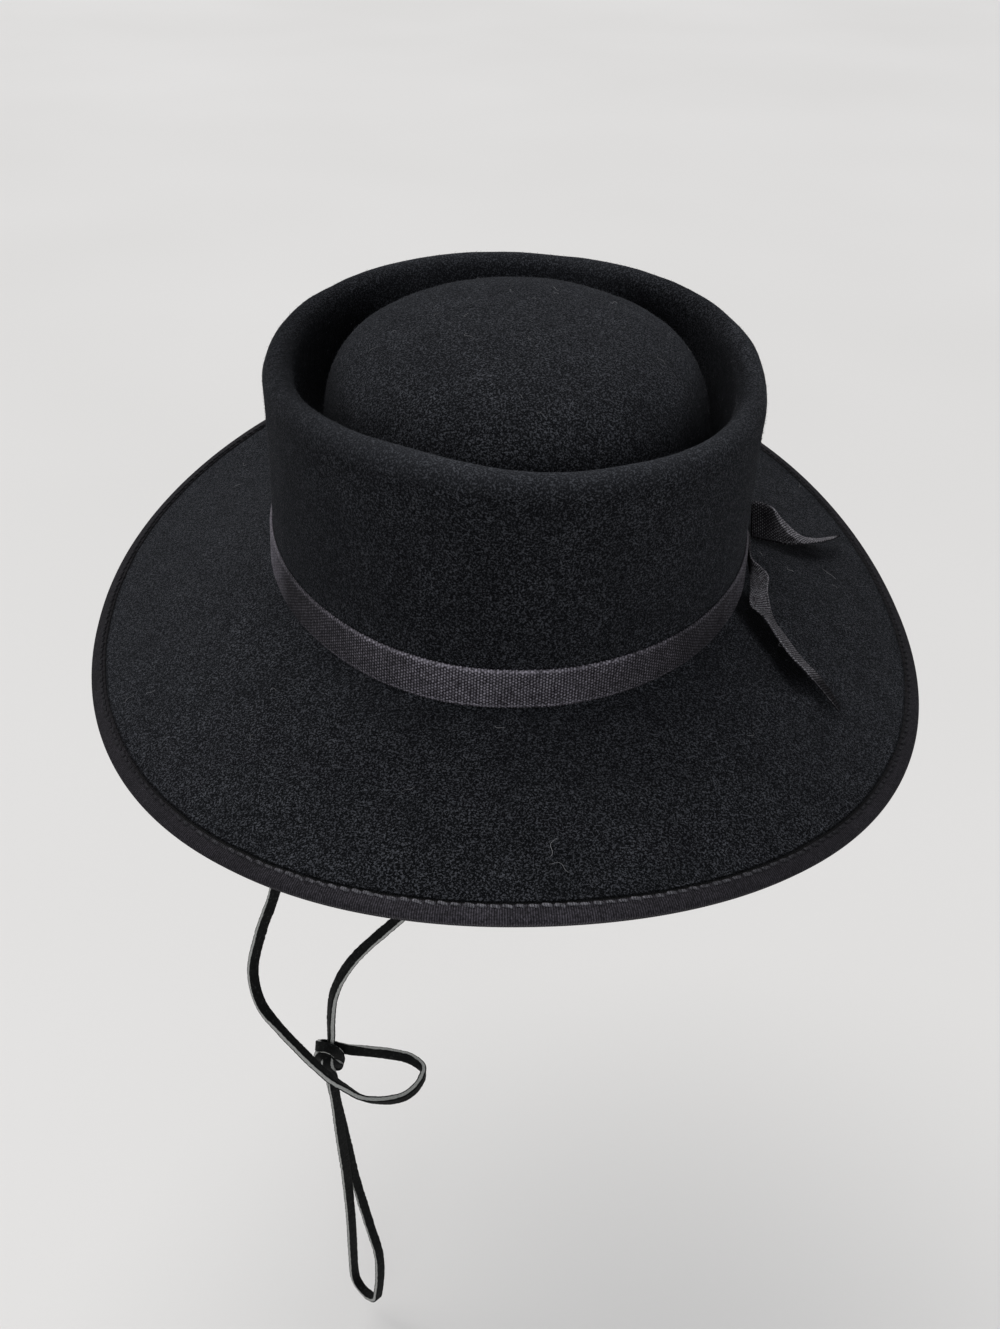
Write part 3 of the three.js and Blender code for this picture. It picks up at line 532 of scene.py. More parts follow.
def ribbed_material(name, pitch, dark, light, weave=0.95, rib_bump=0.0002, front=None, up=None, hem=None, beads=0.85, edges=(0.45, 0.5), tip=None, start=None, spec=0.12, lit=1.0, fall=0.080, fold=False, root=None):
    """Grosgrain: ribs across the tape, each broken into beads by the warp threads."""
    n = Nodes(name)
    u, v, uv = n.uv()
    p = n.object()
    wander = n.math("MULTIPLY", n.math("SUBTRACT", n.noise(p, 260.0, 2.0, 0.5), 0.5), 0.55)
    turns = n.math("ADD", n.math("DIVIDE", u, pitch), wander)
    rib = n.math("MULTIPLY_ADD", n.math("COSINE", n.math("MULTIPLY", turns, 2 * math.pi)), 0.5, 0.5)
    odd = n.math("MULTIPLY", n.math("FLOOR", n.math("MULTIPLY", n.math("FRACT", n.math("MULTIPLY", n.math("ADD", turns, 0.5), 0.5)), 2.0)), 0.5)
    bead = n.math("MULTIPLY", n.math("ADD", n.math("ADD", n.math("DIVIDE", v, weave), odd), n.math("MULTIPLY", wander, 1.2)), 2 * math.pi)
    bead = n.math("MULTIPLY_ADD", n.math("SINE", bead), 0.5, 0.5)
    grain = n.between(n.noise(p, 1250.0, 2.0, 0.65), 0.36, 0.66)
    wear = n.between(n.noise(p, 120.0, 4.0, 0.65), 0.36, 0.66)
    top = n.math("MULTIPLY", n.math("MULTIPLY_ADD", rib, 0.82, 0.18), n.math("MULTIPLY_ADD", bead, beads, 1.0 - beads))
    top = n.math("MULTIPLY", top, n.math("MULTIPLY_ADD", grain, 1.1, 0.22))
    top = n.math("MULTIPLY", top, n.math("MULTIPLY_ADD", wear, 0.45, 0.72))
    if up is not None:       # a free end: painted shade where it stands upright, painted light where it faces up
        nz = n.split(n.t.nodes.new("ShaderNodeNewGeometry").outputs["Normal"])[2]
        painted_facing_light = n.between(nz, 0.35, 0.75, up, lit)
        if root is not None: # it lies on the band at first: less painted shade there
            painted_facing_light = n.math("MAXIMUM", painted_facing_light, n.between(u, root - 10.0, root - 3.0, 0.55, 0.0))
        if fold:             # painted light towards the fold and along the stretch that lies down
            place = n.math("ADD", u, n.math("MULTIPLY", v, 0.98))
            painted_facing_light = n.math("MAXIMUM", painted_facing_light, n.between(place, 12.0, 24.0, up, 0.24))
            laid_highlight = n.math("MULTIPLY", n.between(place, 24.0, 26.5, 0.0, 1.5), n.between(u, 56.0, 61.0, 1.0, 0.25))
            painted_facing_light = n.math("MAXIMUM", painted_facing_light, n.math("MULTIPLY", laid_highlight, n.between(v, 14.9, 15.1, 1.0, 0.0)))
        top = n.math("MULTIPLY", top, painted_facing_light)
    if root is not None:     # and painted shade where it comes out of the join
        top = n.math("MULTIPLY", top, n.between(u, root, root + 12.0, 0.52, 1.0))
    if tip is not None:      # and painted shade towards its tip
        top = n.math("MULTIPLY", top, n.between(u, tip, tip + 6.0, 1.0, 0.10))
    if hem is None:          # paler threads along both edges
        upper = n.between(n.math("ABSOLUTE", n.math("SUBTRACT", v, 14.0)), 0.15, 0.75, 1.0, 0.0)
        if start is not None:
            upper = n.math("MULTIPLY", upper, n.between(u, start, start + 6.0, 0.12, 1.0))
        lower = n.between(n.math("ABSOLUTE", n.math("SUBTRACT", v, n.math("MULTIPLY_ADD", wander, 1.5, 0.85))), 0.15, 0.55, 1.0, 0.0)
        top = n.math("ADD", top, n.math("MULTIPLY", upper, n.math("MULTIPLY_ADD", grain, edges[0], 0.08)))
        top = n.math("ADD", top, n.math("MULTIPLY", lower, n.math("MULTIPLY_ADD", grain, edges[1], 0.03)))
    if front is not None:
        # painted light, strongest in the middle of the front
        top = n.math("MULTIPLY", top, front_painted_light(n, p, front, far=fall))
        if hem is None:      # and painted light again where the band turns away at the sides
            x, y, z = n.split(p)
            side_edge_light = n.math("ADD", n.between(x, -0.087, -0.079, 0.40, 0.0), n.between(x, 0.068, 0.080, 0.0, 0.13))
            side_edge_light = n.math("MULTIPLY", side_edge_light, n.between(y, -0.005, 0.012, 1.0, 0.0))
            top = n.math("ADD", top, n.math("MULTIPLY", side_edge_light, n.math("MULTIPLY_ADD", grain, 0.6, 0.4)))
    colour = n.mix(n.math("MINIMUM", top, 1.0), dark, light)
    if hem is not None:      # painted shade in the groove along both hems of the binding, broken into dots between the stitches at the sides
        groove_shade = n.math("MAXIMUM", n.between(v, 0.60, 0.90, 1.0, 0.0), n.between(v, hem - 0.75, hem - 0.30))
        x, y, z = n.split(p)
        gap = n.math("MULTIPLY_ADD", n.between(n.math("FRACT", n.math("DIVIDE", u, STITCH_PITCH)), 0.15, 0.35, 1.0, 0.0), 0.6, 0.4)
        groove_shade = n.math("MULTIPLY", groove_shade, n.math("MAXIMUM", gap, n.between(y, -0.120, -0.060, 1.0, 0.0)))
        colour = n.mix(groove_shade, colour, rgb(0.0012, 0.0012, 0.0014))
    n.set(Base_Color=colour, Roughness=n.between(rib, 0.0, 1.0, 0.9, 0.68))
    n.put(n.shader.inputs["Specular IOR Level"], spec)
    b = n.bump(rib, rib_bump, 0.9)
    n.bump(n.math("ADD", n.math("MULTIPLY", bead, 0.5), n.math("MULTIPLY", grain, 0.5)), 0.00022, 0.9, b)
    return n.m


def thread_material():
    n = Nodes("stitch_thread")
    u, v, uv = n.uv()
    p = n.object()
    ply = n.math("MULTIPLY_ADD", n.math("SINE", n.math("ADD", n.math("MULTIPLY", u, 9.0), n.math("MULTIPLY", v, 2 * math.pi))), 0.5, 0.5)
    fuzz = n.between(n.noise(p, 1150.0, 3.0, 0.7), 0.38, 0.62)
    # the stitches carry painted light in the middle of the front
    lit = n.math("MULTIPLY", n.math("MULTIPLY", n.math("MULTIPLY_ADD", ply, 0.6, 0.4), n.math("MULTIPLY_ADD", fuzz, 0.8, 0.2)), front_painted_light(n, p, 0.14, 0.03, 0.10))
    n.set(Base_Color=n.mix(lit, rgb(0.004, 0.004, 0.005), rgb(0.205, 0.20, 0.22)), Roughness=0.9)
    n.put(n.shader.inputs["Specular IOR Level"], 0.12)
    n.bump(n.math("ADD", n.math("MULTIPLY", ply, 0.7), n.math("MULTIPLY", fuzz, 0.3)), 0.0002, 0.8)
    return n.m


def leather_face():
    n = Nodes("lace_face")
    p = n.object()
    pore = n.noise(p, 1500.0, 4.0, 0.65)
    crease = n.noise(p, 260.0, 4.0, 0.6, 0.8)
    scuff = n.between(n.noise(p, 900.0, 4.0, 0.7), 0.56, 0.76)
    tone = n.mix(n.between(crease, 0.3, 0.7), rgb(0.0022, 0.0025, 0.0024), rgb(0.0052, 0.0056, 0.0053))
    n.set(Base_Color=n.mix(scuff, tone, rgb(0.040, 0.042, 0.040)), Roughness=n.between(pore, 0.3, 0.7, 0.62, 0.85))
    n.put(n.shader.inputs["Specular IOR Level"], 0.10)
    b = n.bump(crease, 0.0005, 0.5)
    n.bump(pore, 0.00018, 0.6, b)
    return n.m


def leather_cut():
    """Cut side: dark dyed skin along both borders and pale raw leather between them."""
    n = Nodes("lace_cut")
    u, v, uv = n.uv()
    p = n.object()
    fray = n.math("MULTIPLY", n.math("SUBTRACT", n.noise(p, 900.0, 4.0, 0.7), 0.5), 0.30)
    off = n.math("ADD", n.math("ABSOLUTE", n.math("SUBTRACT", v, 0.5)), fray)
    raw = n.between(off, 0.23, 0.32, 1.0, 0.0)
    fibre = n.between(n.noise(n.scaled(uv, (0.35, 6.0, 1.0)), 3.0, 4.0, 0.7), 0.3, 0.72)
    pale = n.mix(fibre, rgb(0.17, 0.175, 0.165), rgb(0.56, 0.565, 0.54))
    n.set(Base_Color=n.mix(raw, rgb(0.0030, 0.0033, 0.0032), pale), Roughness=0.88)
    n.put(n.shader.inputs["Specular IOR Level"], 0.10)
    n.bump(n.math("ADD", n.math("MULTIPLY", raw, 0.4), n.noise(p, 1300.0, 5.0, 0.75)), 0.0005, 0.8)
    return n.m


def sweatband_material():
    n = Nodes("sweatband_leather")
    p = n.object()
    pore = n.noise(p, 900.0, 4.0, 0.6)
    tone = n.between(n.noise(p, 35.0, 4.0, 0.55), 0.3, 0.7)
    n.set(Base_Color=n.mix(tone, rgb(0.018, 0.014, 0.012), rgb(0.040, 0.032, 0.027)), Roughness=n.between(pore, 0.3, 0.7, 0.42, 0.6))
    b = n.bump(n.noise(p, 120.0, 3.0, 0.5), 0.0008, 0.3)
    n.bump(pore, 0.0002, 0.5, b)
    return n.m


def floor_material():
    n = Nodes("floor")
    p = n.object()
    shade = n.between(n.noise(p, 1.2, 2.0, 0.5), 0.3, 0.7)
    fine = n.noise(p, 260.0, 3.0, 0.6)
    n.set(Base_Color=n.mix(shade, rgb(0.665, 0.655, 0.64), rgb(0.695, 0.685, 0.672)), Roughness=0.8)
    n.bump(fine, 0.0004, 0.2)
    return n.m


FELT_MAT, NAP_MAT, LINT_MAT = felt_material(), nap_material(), lint_material()
# the band carries a painted reflection in the middle of the front and painted light at its turning sides
BAND_MAT = ribbed_material("band_tape", BAND_RIB, rgb(0.0038, 0.0035, 0.0044), rgb(0.365, 0.340, 0.390), weave=1.15, front=0.27, fall=0.064)
# the free ends: painted shade where they stand upright, painted light where they face up
UPPER_MAT = ribbed_material("band_tape_upper_end", BAND_RIB, rgb(0.0007, 0.0006, 0.0009), rgb(0.34, 0.33, 0.355), weave=1.15, up=0.055, edges=(0.75, 0.0), start=7.0, spec=0.0, lit=0.40, beads=0.95, fold=True)
LOWER_MAT = ribbed_material("band_tape_lower_end", BAND_RIB, rgb(0.0040, 0.0038, 0.0045), rgb(0.34, 0.33, 0.355), weave=1.15, up=0.12, edges=(0.40, 0.28), tip=78.0, spec=0.02, lit=1.05, beads=0.86, root=28.0)
# the binding: painted light in the middle of the front, painted shade in its hem grooves
BINDING_MAT = ribbed_material("binding_tape", BINDING_RIB, rgb(0.0060, 0.0055, 0.0068), rgb(0.072, 0.066, 0.079), weave=1.2, rib_bump=0.00018, front=0.40, hem=19.15, beads=0.25)
THREAD_MAT, FACE_MAT, CUT_MAT = thread_material(), leather_face(), leather_cut()
SWEAT_MAT = sweatband_material()

# ------------------------------------------------------------------ the lace, first of the making
def knot_rows():
    """The knot's rows carried into the frame of the model."""
    rows = []
    right, up, away = np.array(RIGHT), -np.array(DOWN), np.array(AHEAD)
    for x, y, forward, c, splay in KNOT:
        d = (forward - x * right[1] - y * up[1]) / away[1]
        p = np.array(KNOT_MIDDLE) + x * right + y * up + d * away
        rows.append((*p, *(c[0] * right + c[1] * up + c[2] * away), splay))
    return rows


def plain(rows):
    return [(*p, *c, 0.0) for p, c in rows]


route = plain(LACE_LEFT) + knot_rows() + plain(LACE_BIGHT) + plain(LACE_CORE) + plain(LACE_RIGHT)
line, s_line = evenly(route, 0.55)
centre, cut, splay = line[:, :3], line[:, 3:6], line[:, 6]
tangent = unit(np.gradient(centre, axis=0))
cut = unit(cut - (cut * tangent).sum(1, keepdims=True) * tangent)
for _ in range(8):
    cut[1:-1] = cut[:-2] + 2 * cut[1:-1] + cut[2:]
    cut = unit(cut - (cut * tangent).sum(1, keepdims=True) * tangent)
face = np.cross(tangent, cut)

# rounded rectangle: wide faces look along +face and -face, cut sides along +cut and -cut
hw, hd, r = LACE_WIDE / 2, LACE_DEEP / 2, 0.32
section = []
for sx, sy, a0 in ((1, 1, 0), (-1, 1, 90), (-1, -1, 180), (1, -1, 270)):
    for a in (0, 30, 60, 90):
        t = math.radians(a0 + a)
        section.append((sx * (hw - r) + r * math.cos(t), sy * (hd - r) + r * math.sin(t)))
section = np.array(section)          # x along the cut direction, y along the face direction
full = []
for i in range(16):
    p, q = section[i], section[(i + 1) % 16]
    full.append(p)
    if i % 4 == 3:
        for f in ((0.25, 0.5, 0.75) if i in (3, 11) else (0.33, 0.67)):
            full.append(p + (q - p) * f)
section = np.array(full)
n_sec = len(section)
wear = 0.05 * fbm(centre, 5.0, 3, 2) + 0.09 * fbm(centre, 1.3, 8, 2)
rough = 0.11 * fbm(centre, 1.6, 5, 2)
shape_x = section[None, :, 0] * (1 + wear[:, None]) * (1 - splay[:, None] * section[None, :, 1] / hd)
rings = centre[:, None, :] + shape_x[..., None] * cut[:, None, :] \
    + (section[None, :, 1] * (1 + rough[:, None]))[..., None] * face[:, None, :]
u_lace = s_line.copy()
# v runs 0..1 over each cut side, so that its middle is the raw core
v_lace = np.zeros(n_sec)
quads = grid_faces(len(centre), n_sec, True, False)[:, ::-1]
jj, ii = np.meshgrid(np.arange(len(centre) - 1), np.arange(n_sec), indexing="ij")
kk = (ii + 1) % n_sec
depth = np.clip(section[:, 1] / (2 * hd) + 0.5, 0.001, 0.999)
side = (np.sign(section[ii, 0]) == np.sign(section[kk, 0])) & (np.maximum(np.abs(section[ii, 0]), np.abs(section[kk, 0])) > hw - 0.02)
uv = np.stack([np.stack([u_lace[jj + 1], depth[ii]], -1), np.stack([u_lace[jj + 1], depth[kk]], -1),
               np.stack([u_lace[jj], depth[kk]], -1), np.stack([u_lace[jj], depth[ii]], -1)], 2).reshape(-1, 2)
verts = np.vstack([rings.reshape(-1, 3), centre[0], centre[-1]])
m, k = len(centre), np.arange(n_sec)
tris = np.concatenate([np.stack([np.full(n_sec, m * n_sec), k, (k + 1) % n_sec], 1),
                       np.stack([np.full(n_sec, m * n_sec + 1), (m - 1) * n_sec + (k + 1) % n_sec, (m - 1) * n_sec + k], 1)])
index = np.concatenate([side.reshape(-1).astype(int), np.zeros(len(tris), int)])
lace = make("chin_lace", verts, quads=quads, tris=tris, uv=np.vstack([uv, np.zeros((len(tris) * 3, 2))]), slot="lace_leather",
            materials=(FACE_MAT, CUT_MAT), index=index, replaces=("lace_left", "lace_bight", "lace_right", "lace_knot"))

# ------------------------------------------------------------------ felt
AROUND = 384
angle = np.linspace(0, 2 * math.pi, AROUND, endpoint=False)
n_base, n_rim = outward(base_point, angle), outward(rim_point, angle)


def felt_rows(a):
    rows, tag = [], []
    width = wave(BRIM_WIDTH, a)
    edge = 1 - 1.4 / width
    for f in np.linspace(1, 0, 44):
        t = edge * f
        if f == 0:
            continue
        rows.append(brim_point(a, np.maximum(t, 0.0))); tag.append("brim")
    low = base_point(a)
    rows.append(brim_point(a, 1.1 / width)); tag.append("joint")
    rows.append(low - 0.30 * n_base + np.array([0, 0, 0.28])); tag.append("joint")
    rows.append(low - 0.78 * n_base + np.array([0, 0, 1.0])); tag.append("joint")
    for f in np.linspace(0.03, 1, 38):
        rows.append(wall_point(a, f)); tag.append("wall")
    centre_ = rim_point(a)
    for d in np.linspace(0, 180, 27)[1:]:
        q = math.radians(d)
        p = centre_ + n_rim * (RIM_ROLL * math.cos(q))
        p[:, 2] += RIM_ROLL * math.sin(q)
        rows.append(p); tag.append("roll")
    inner = rim_point(a) - n_rim * (RIM_ROLL + 0.4)
    start = rows[-1]
    foot = dome_point(a, 0)
    floor_ = inner + (foot - inner) * 0.5
    floor_[:, 2] = TRENCH_FLOOR
    wall_in = inner.copy(); wall_in[:, 2] = TRENCH_WALL
    mid = inner + (floor_ - inner) * 0.35
    mid[:, 2] = (2 * TRENCH_FLOOR + TRENCH_WALL) / 3
    rise = floor_ + (foot - floor_) * 0.75
    rise[:, 2] = TRENCH_FLOOR + 1.2
    ctrl = [start, wall_in, mid, floor_, rise, foot]
    for i in range(5):
        p0 = ctrl[max(0, i - 1)] if i else start + np.array([0, 0, 8.0])
        p1, p2 = ctrl[i], ctrl[i + 1]
        p3 = ctrl[i + 2] if i < 4 else dome_point(a, 8)
        for u in np.linspace(0, 1, 5)[1:]:
            rows.append(0.5 * (2 * p1 + (p2 - p0) * u + (2 * p0 - 5 * p1 + 4 * p2 - p3) * u**2 + (3 * p1 - p0 - 3 * p2 + p3) * u**3))
            tag.append("trench")
    for d in np.concatenate([np.linspace(2, 60, 26), np.linspace(62, 88.5, 16)]):
        rows.append(dome_point(a, d)); tag.append("dome")
    return np.array(rows), np.array(tag)


top, tag = felt_rows(angle)
m_top = len(top)


def normals(grid):
    du = np.roll(grid, -1, 1) - np.roll(grid, 1, 1)
    dv = np.gradient(grid, axis=0)
    return unit(np.cross(du, dv))


nrm_top = normals(top)
if nrm_top[0, :, 2].mean() < 0:
    nrm_top = -nrm_top
under_pick = np.unique(np.concatenate([np.arange(0, 44, 2), np.arange(43, 48), np.arange(48, 86, 3), np.arange(86, 112, 3),
                                       np.arange(112, 132, 3), np.arange(132, m_top, 3), [m_top - 1]]))
under_pick = under_pick[under_pick < m_top]
under = top[under_pick] - nrm_top[under_pick] * FELT

# soft unevenness of the blocked felt, left off near the bound edge and under the band
fade = np.ones(m_top)
fade[:9] = np.clip((np.arange(9) - 3) / 5, 0, 1)
joint = np.where(tag == "joint")[0]
for j in range(m_top):
    d = min(abs(j - joint[0]), abs(j - joint[-1]))
    if tag[j] == "wall" and j - joint[-1] < 9 or tag[j] == "joint":
        fade[j] = 0.0
    elif tag[j] == "brim":
        fade[j] = min(fade[j], d / 5)
    elif tag[j] == "trench":
        fade[j] = 0.3
inward_felt = np.full((m_top, AROUND), 99.0)
hem_drift = 0.35 * np.array([noise.fractal(Vector((math.cos(x) * 7, math.sin(x) * 7, 2.0)), 1.0, 2.0, 3) for x in angle])
for j in range(43):
    inward_felt[j] = wave(BRIM_WIDTH, angle) * (1 - (1 - 1.4 / wave(BRIM_WIDTH, angle)) * (43 - j) / 43) - hem_drift
bump = 0.55 * fbm(top, 38.0, 1, 2) + 0.16 * fbm(top, 11.0, 2, 2)
top = top + nrm_top * (bump * fade[:, None])[..., None]

rows_all = np.concatenate([under[::-1], top])
m_all = len(rows_all)
apex = np.array([DOME["x"], DOME["y"], DOME["top"]])
verts = np.vstack([rows_all.reshape(-1, 3), apex - [0, 0, FELT], apex + [0, 0, 0.05]])
quads = grid_faces(m_all, AROUND, True, False)
k = np.arange(AROUND)
first = m_all * AROUND
tris = np.concatenate([np.stack([np.full(AROUND, first), (k + 1) % AROUND, k], 1),
                       np.stack([np.full(AROUND, first + 1), (m_all - 1) * AROUND + k, (m_all - 1) * AROUND + (k + 1) % AROUND], 1)])
v_felt = np.concatenate([np.full((len(under), AROUND), -50.0), inward_felt])
jj, ii = np.meshgrid(np.arange(m_all - 1), np.arange(AROUND), indexing="ij")
kk = (ii + 1) % AROUND
uu = ii.astype(float)
uv_felt = np.stack([np.stack([uu, v_felt[jj, ii]], -1), np.stack([uu + 1, v_felt[jj, kk]], -1),
                    np.stack([uu + 1, v_felt[jj + 1, kk]], -1), np.stack([uu, v_felt[jj + 1, ii]], -1)], 2).reshape(-1, 2)
uv_felt = np.vstack([uv_felt, np.full((len(tris) * 3, 2), 99.0)])
felt = make("felt_body", verts, quads=quads, tris=tris, uv=uv_felt, slot="felt", materials=(FELT_MAT,),
            replaces=("felt_brim", "felt_crown_side", "felt_crown_top"))

# fine fibres that stand off the felt: slim closed needles rooted in it
def needles(name, count, long, thick, lean):
    m, n = top.shape[:2]
    du = np.linalg.norm(np.roll(top, -1, 1) - top, axis=2)[:-1]
    dv = np.linalg.norm(np.diff(top, axis=0), axis=2)
    area = (du * dv)
    area[:2] = 0
    area[joint[0] - 1:joint[-1] + 8] = 0
    area[(tag == "trench")[:-1]] *= 0.4
    w = area.ravel() / area.sum()
    pick = rng.choice(len(w), count, p=w)
    j, i = pick // n, pick % n
    fj, fi = rng.random(count)[:, None], rng.random(count)[:, None]
    k = (i + 1) % n
    q = (top[j, i] * (1 - fi) + top[j, k] * fi) * (1 - fj) + (top[j + 1, i] * (1 - fi) + top[j + 1, k] * fi) * fj
    nn = unit(nrm_top[j, i])
    t = unit(np.cross(nn, rng.normal(size=(count, 3))))
    b = np.cross(nn, t)
    length = long * rng.uniform(0.45, 1.25, count)[:, None]
    rise = np.radians(rng.uniform(*lean, count))[:, None]
    way = t * np.cos(rise) + nn * np.sin(rise)
    curl = b * rng.normal(0, 0.35, count)[:, None]
    w2 = thick / 2
    root = q - nn * 0.10
    tip = q + way * length + curl * length
    side_ = unit(np.cross(way, nn))
    lift = unit(np.cross(side_, way))
    base = [root + side_ * w2, root - side_ * w2, root + lift * w2 * 1.6]
    v = np.stack([*base, tip], 1).reshape(-1, 3)
    s = (np.arange(count) * 4)[:, None]
    f = np.concatenate([s + [0, 2, 1], s + [0, 1, 3], s + [1, 2, 3], s + [2, 0, 3]])
    return make(name, v, tris=f, slot="felt", materials=(NAP_MAT,), smooth=False)


nap = needles("felt_nap", 46000, 1.3, 0.075, (6, 40))


def lint(name, count, spots):
    """Loose curled hairs lying on the felt."""
    n = top.shape[1]
    allowed = np.where((tag == "brim") | (tag == "dome"))[0]
    allowed = allowed[(allowed > 4)]
    seeds = []
    for at in spots:
        gap = np.linalg.norm(top - np.array(at), axis=2)
        seeds.append(np.unravel_index(gap.argmin(), gap.shape))
    for _ in range(count):
        j = int(rng.choice(allowed))
        seeds.append((j, int(rng.integers(0, n))))
    steps, sec = 16, 5
    out_v, out_t = [], []
    for h, (j, i) in enumerate(seeds):
        nn = unit(nrm_top[j, i])
        t1 = unit(np.cross(nn, rng.normal(size=3)))
        t2 = np.cross(nn, t1)
        size = rng.uniform(2.5, 6.0) if h >= len(spots) else 7.5
        turn = rng.uniform(-1.0, 1.0) * 2.6
        s = np.linspace(0, 1, steps)
        heading = turn * s + 0.7 * np.sin(s * rng.uniform(4, 9) + rng.uniform(0, 6))
        step = size / (steps - 1)
        x, y = np.cumsum(np.cos(heading)) * step, np.cumsum(np.sin(heading)) * step
        z = 0.42 + 0.25 * np.sin(s * rng.uniform(3, 8)) + 0.25 * s * rng.uniform(0, 1)
        c = top[j, i] + x[:, None] * t1 + y[:, None] * t2 + z[:, None] * nn
        tan = unit(np.gradient(c, axis=0))
        side_ = unit(np.cross(tan, nn))
        lift = np.cross(side_, tan)
        rad = (0.055 if h >= len(spots) else 0.075) * (1 - 0.6 * s ** 3)
        b0 = sum(len(q) for q in out_v)
        ring = []
        for q in range(steps):
            ang = np.arange(sec) / sec * 2 * math.pi
            ring.append(c[q] + rad[q] * (np.cos(ang)[:, None] * side_[q] + np.sin(ang)[:, None] * lift[q]))
        out_v.append(np.concatenate(ring))
        quads_ = grid_faces(steps, sec, True, False)[:, ::-1] + b0
        out_t.append(np.concatenate([quads_[:, [0, 1, 2]], quads_[:, [0, 2, 3]]]))
        e = b0 + (steps - 1) * sec
        out_t.append(np.array([(b0, b0 + k_, b0 + k_ + 1) for k_ in range(1, sec - 1)] + [(e, e + k_ + 1, e + k_) for k_ in range(1, sec - 1)]))
    return make(name, np.concatenate(out_v), tris=np.concatenate(out_t), slot="felt", materials=(LINT_MAT,))


lint("felt_lint", 46, [(8.9, -163.2, -18.0), (130.0, 0.6, -18.5), (3.0, -158.0, -16.5)])

# ------------------------------------------------------------------ band round the crown
def along(points):
    d = np.linalg.norm(np.roll(points, -1, 0) - points, axis=1)
    return np.concatenate([[0], np.cumsum(d)[:-1]]), d.sum()


fine = np.linspace(0, 2 * math.pi, 4000, endpoint=False)
s_fine, band_round = along(base_point(fine) + 1.0 * outward(base_point, fine))
ribs = int(round(band_round / BAND_RIB))
per = 4
u_band = np.arange(ribs * per) / per * BAND_RIB
a_band = np.interp(u_band * band_round / (ribs * BAND_RIB), np.append(s_fine, band_round), np.append(fine, 2 * math.pi))
n_b = outward(base_point, a_band)
low_b, high_b = wall_point(a_band, 0.0), wall_point(a_band, 0.30)
rib_wave = 0.5 + 0.5 * np.cos(2 * math.pi * u_band / BAND_RIB)
slack = 0.35 * np.array([noise.fractal(Vector((math.cos(x) * 3.1, math.sin(x) * 3.1, 4.0)), 1.0, 2.0, 3) for x in a_band])
tilt = 0.30 * np.array([noise.fractal(Vector((math.cos(x) * 2.3, math.sin(x) * 2.3, 9.0)), 1.0, 2.0, 2) for x in a_band])


def band_at(z, off):
    f = (z / (high_b[:, 2] - low_b[:, 2]))
    return low_b + (high_b - low_b) * np.asarray(f)[:, None] + n_b * np.asarray(off)[:, None]


one = np.ones(len(a_band))
outline, v_band = [], []
z0, z1 = BAND_FOOT, BAND_FOOT + BAND_HEIGHT
for i, f in enumerate(np.linspace(0, 1, 15)):
    z = (z0 + 0.25 + (z1 - z0 - 0.5) * f) + tilt
    edge = 1 - max(0, (abs(f - 0.5) - 0.44) / 0.06) ** 2
    swell = 0.42 + 0.40 * edge + 0.11 * rib_wave * (0.4 + 0.6 * edge) + slack * (0.25 + 0.5 * (f - 0.3) ** 2)
    outline.append(band_at(z, 0.18 + swell)); v_band.append(f * BAND_HEIGHT)
outline.append(band_at(z1 - 0.02 + 0.10 * rib_wave + tilt, (0.34 + slack * 0.4))); v_band.append(BAND_HEIGHT + 0.4)
outline.append(band_at(z1 - 0.35 + tilt, 0.06 * one)); v_band.append(BAND_HEIGHT + 0.8)
outline.append(band_at((z0 + z1) / 2 * one, 0.06 * one)); v_band.append(BAND_HEIGHT + 8)
outline.append(band_at(z0 + 0.35 + tilt, 0.06 * one)); v_band.append(BAND_HEIGHT + 15)
outline.append(band_at(z0 + 0.02 - 0.10 * rib_wave + tilt, (0.36 + slack * 0.3))); v_band.append(BAND_HEIGHT + 15.4)
band = hoop("hat_band", np.array(outline), u_band, np.array(v_band), slot="band_tape", materials=(BAND_MAT,), replaces=("hat_band",))

# ------------------------------------------------------------------ binding folded over the brim edge
s_fine, edge_round = along(brim_point(fine, 1.0))
ribs = int(round(edge_round / BINDING_RIB))
per = 3
u_bind = np.arange(ribs * per) / per * BINDING_RIB
a_bind = np.interp(u_bind * edge_round / (ribs * BINDING_RIB), np.append(s_fine, edge_round), np.append(fine, 2 * math.pi))
w_bind = wave(BRIM_WIDTH, a_bind)
rib_wave = 0.5 + 0.5 * np.cos(2 * math.pi * u_bind / BINDING_RIB)
drift = 0.35 * np.array([noise.fractal(Vector((math.cos(x) * 7, math.sin(x) * 7, 2.0)), 1.0, 2.0, 3) for x in a_bind])


def bind_at(inward, lift):
    return brim_point(a_bind, 1 - inward / w_bind, lift)


pull = 0.5 + 0.5 * np.cos(2 * math.pi * u_bind / STITCH_PITCH)     # the tape puckers between stitches
rows, v_bind = [], []
wide, thick = BINDING_WIDTH, BINDING_THICK
rib = 0.09 * rib_wave
top_rows = [(wide, 0.10, 0), (wide - 0.35, 0.52, 0.3), (wide - 1.1, 0.58, 1), (wide - 2.0, 0.82, 1), (wide - 4.0, 1.0, 1), (1.4, 0.95, 1), (0.80, 0.72, 1)]
for w, h, c in top_rows:
    lift = h + rib * c
    if abs(w - (wide - 1.1)) < 0.01:
        lift = lift - 0.16 * pull
    rows.append(bind_at(w + drift * (w / wide), lift)); v_bind.append(wide - w)
for w, h in ((0.35, 0.38), (0.15, -0.15), (0.22, -0.75), (0.45, -1.35), (0.75, -2.10)):
    rows.append(bind_at(w - rib, h * np.ones_like(rib))); v_bind.append(v_bind[-1] + 0.7)
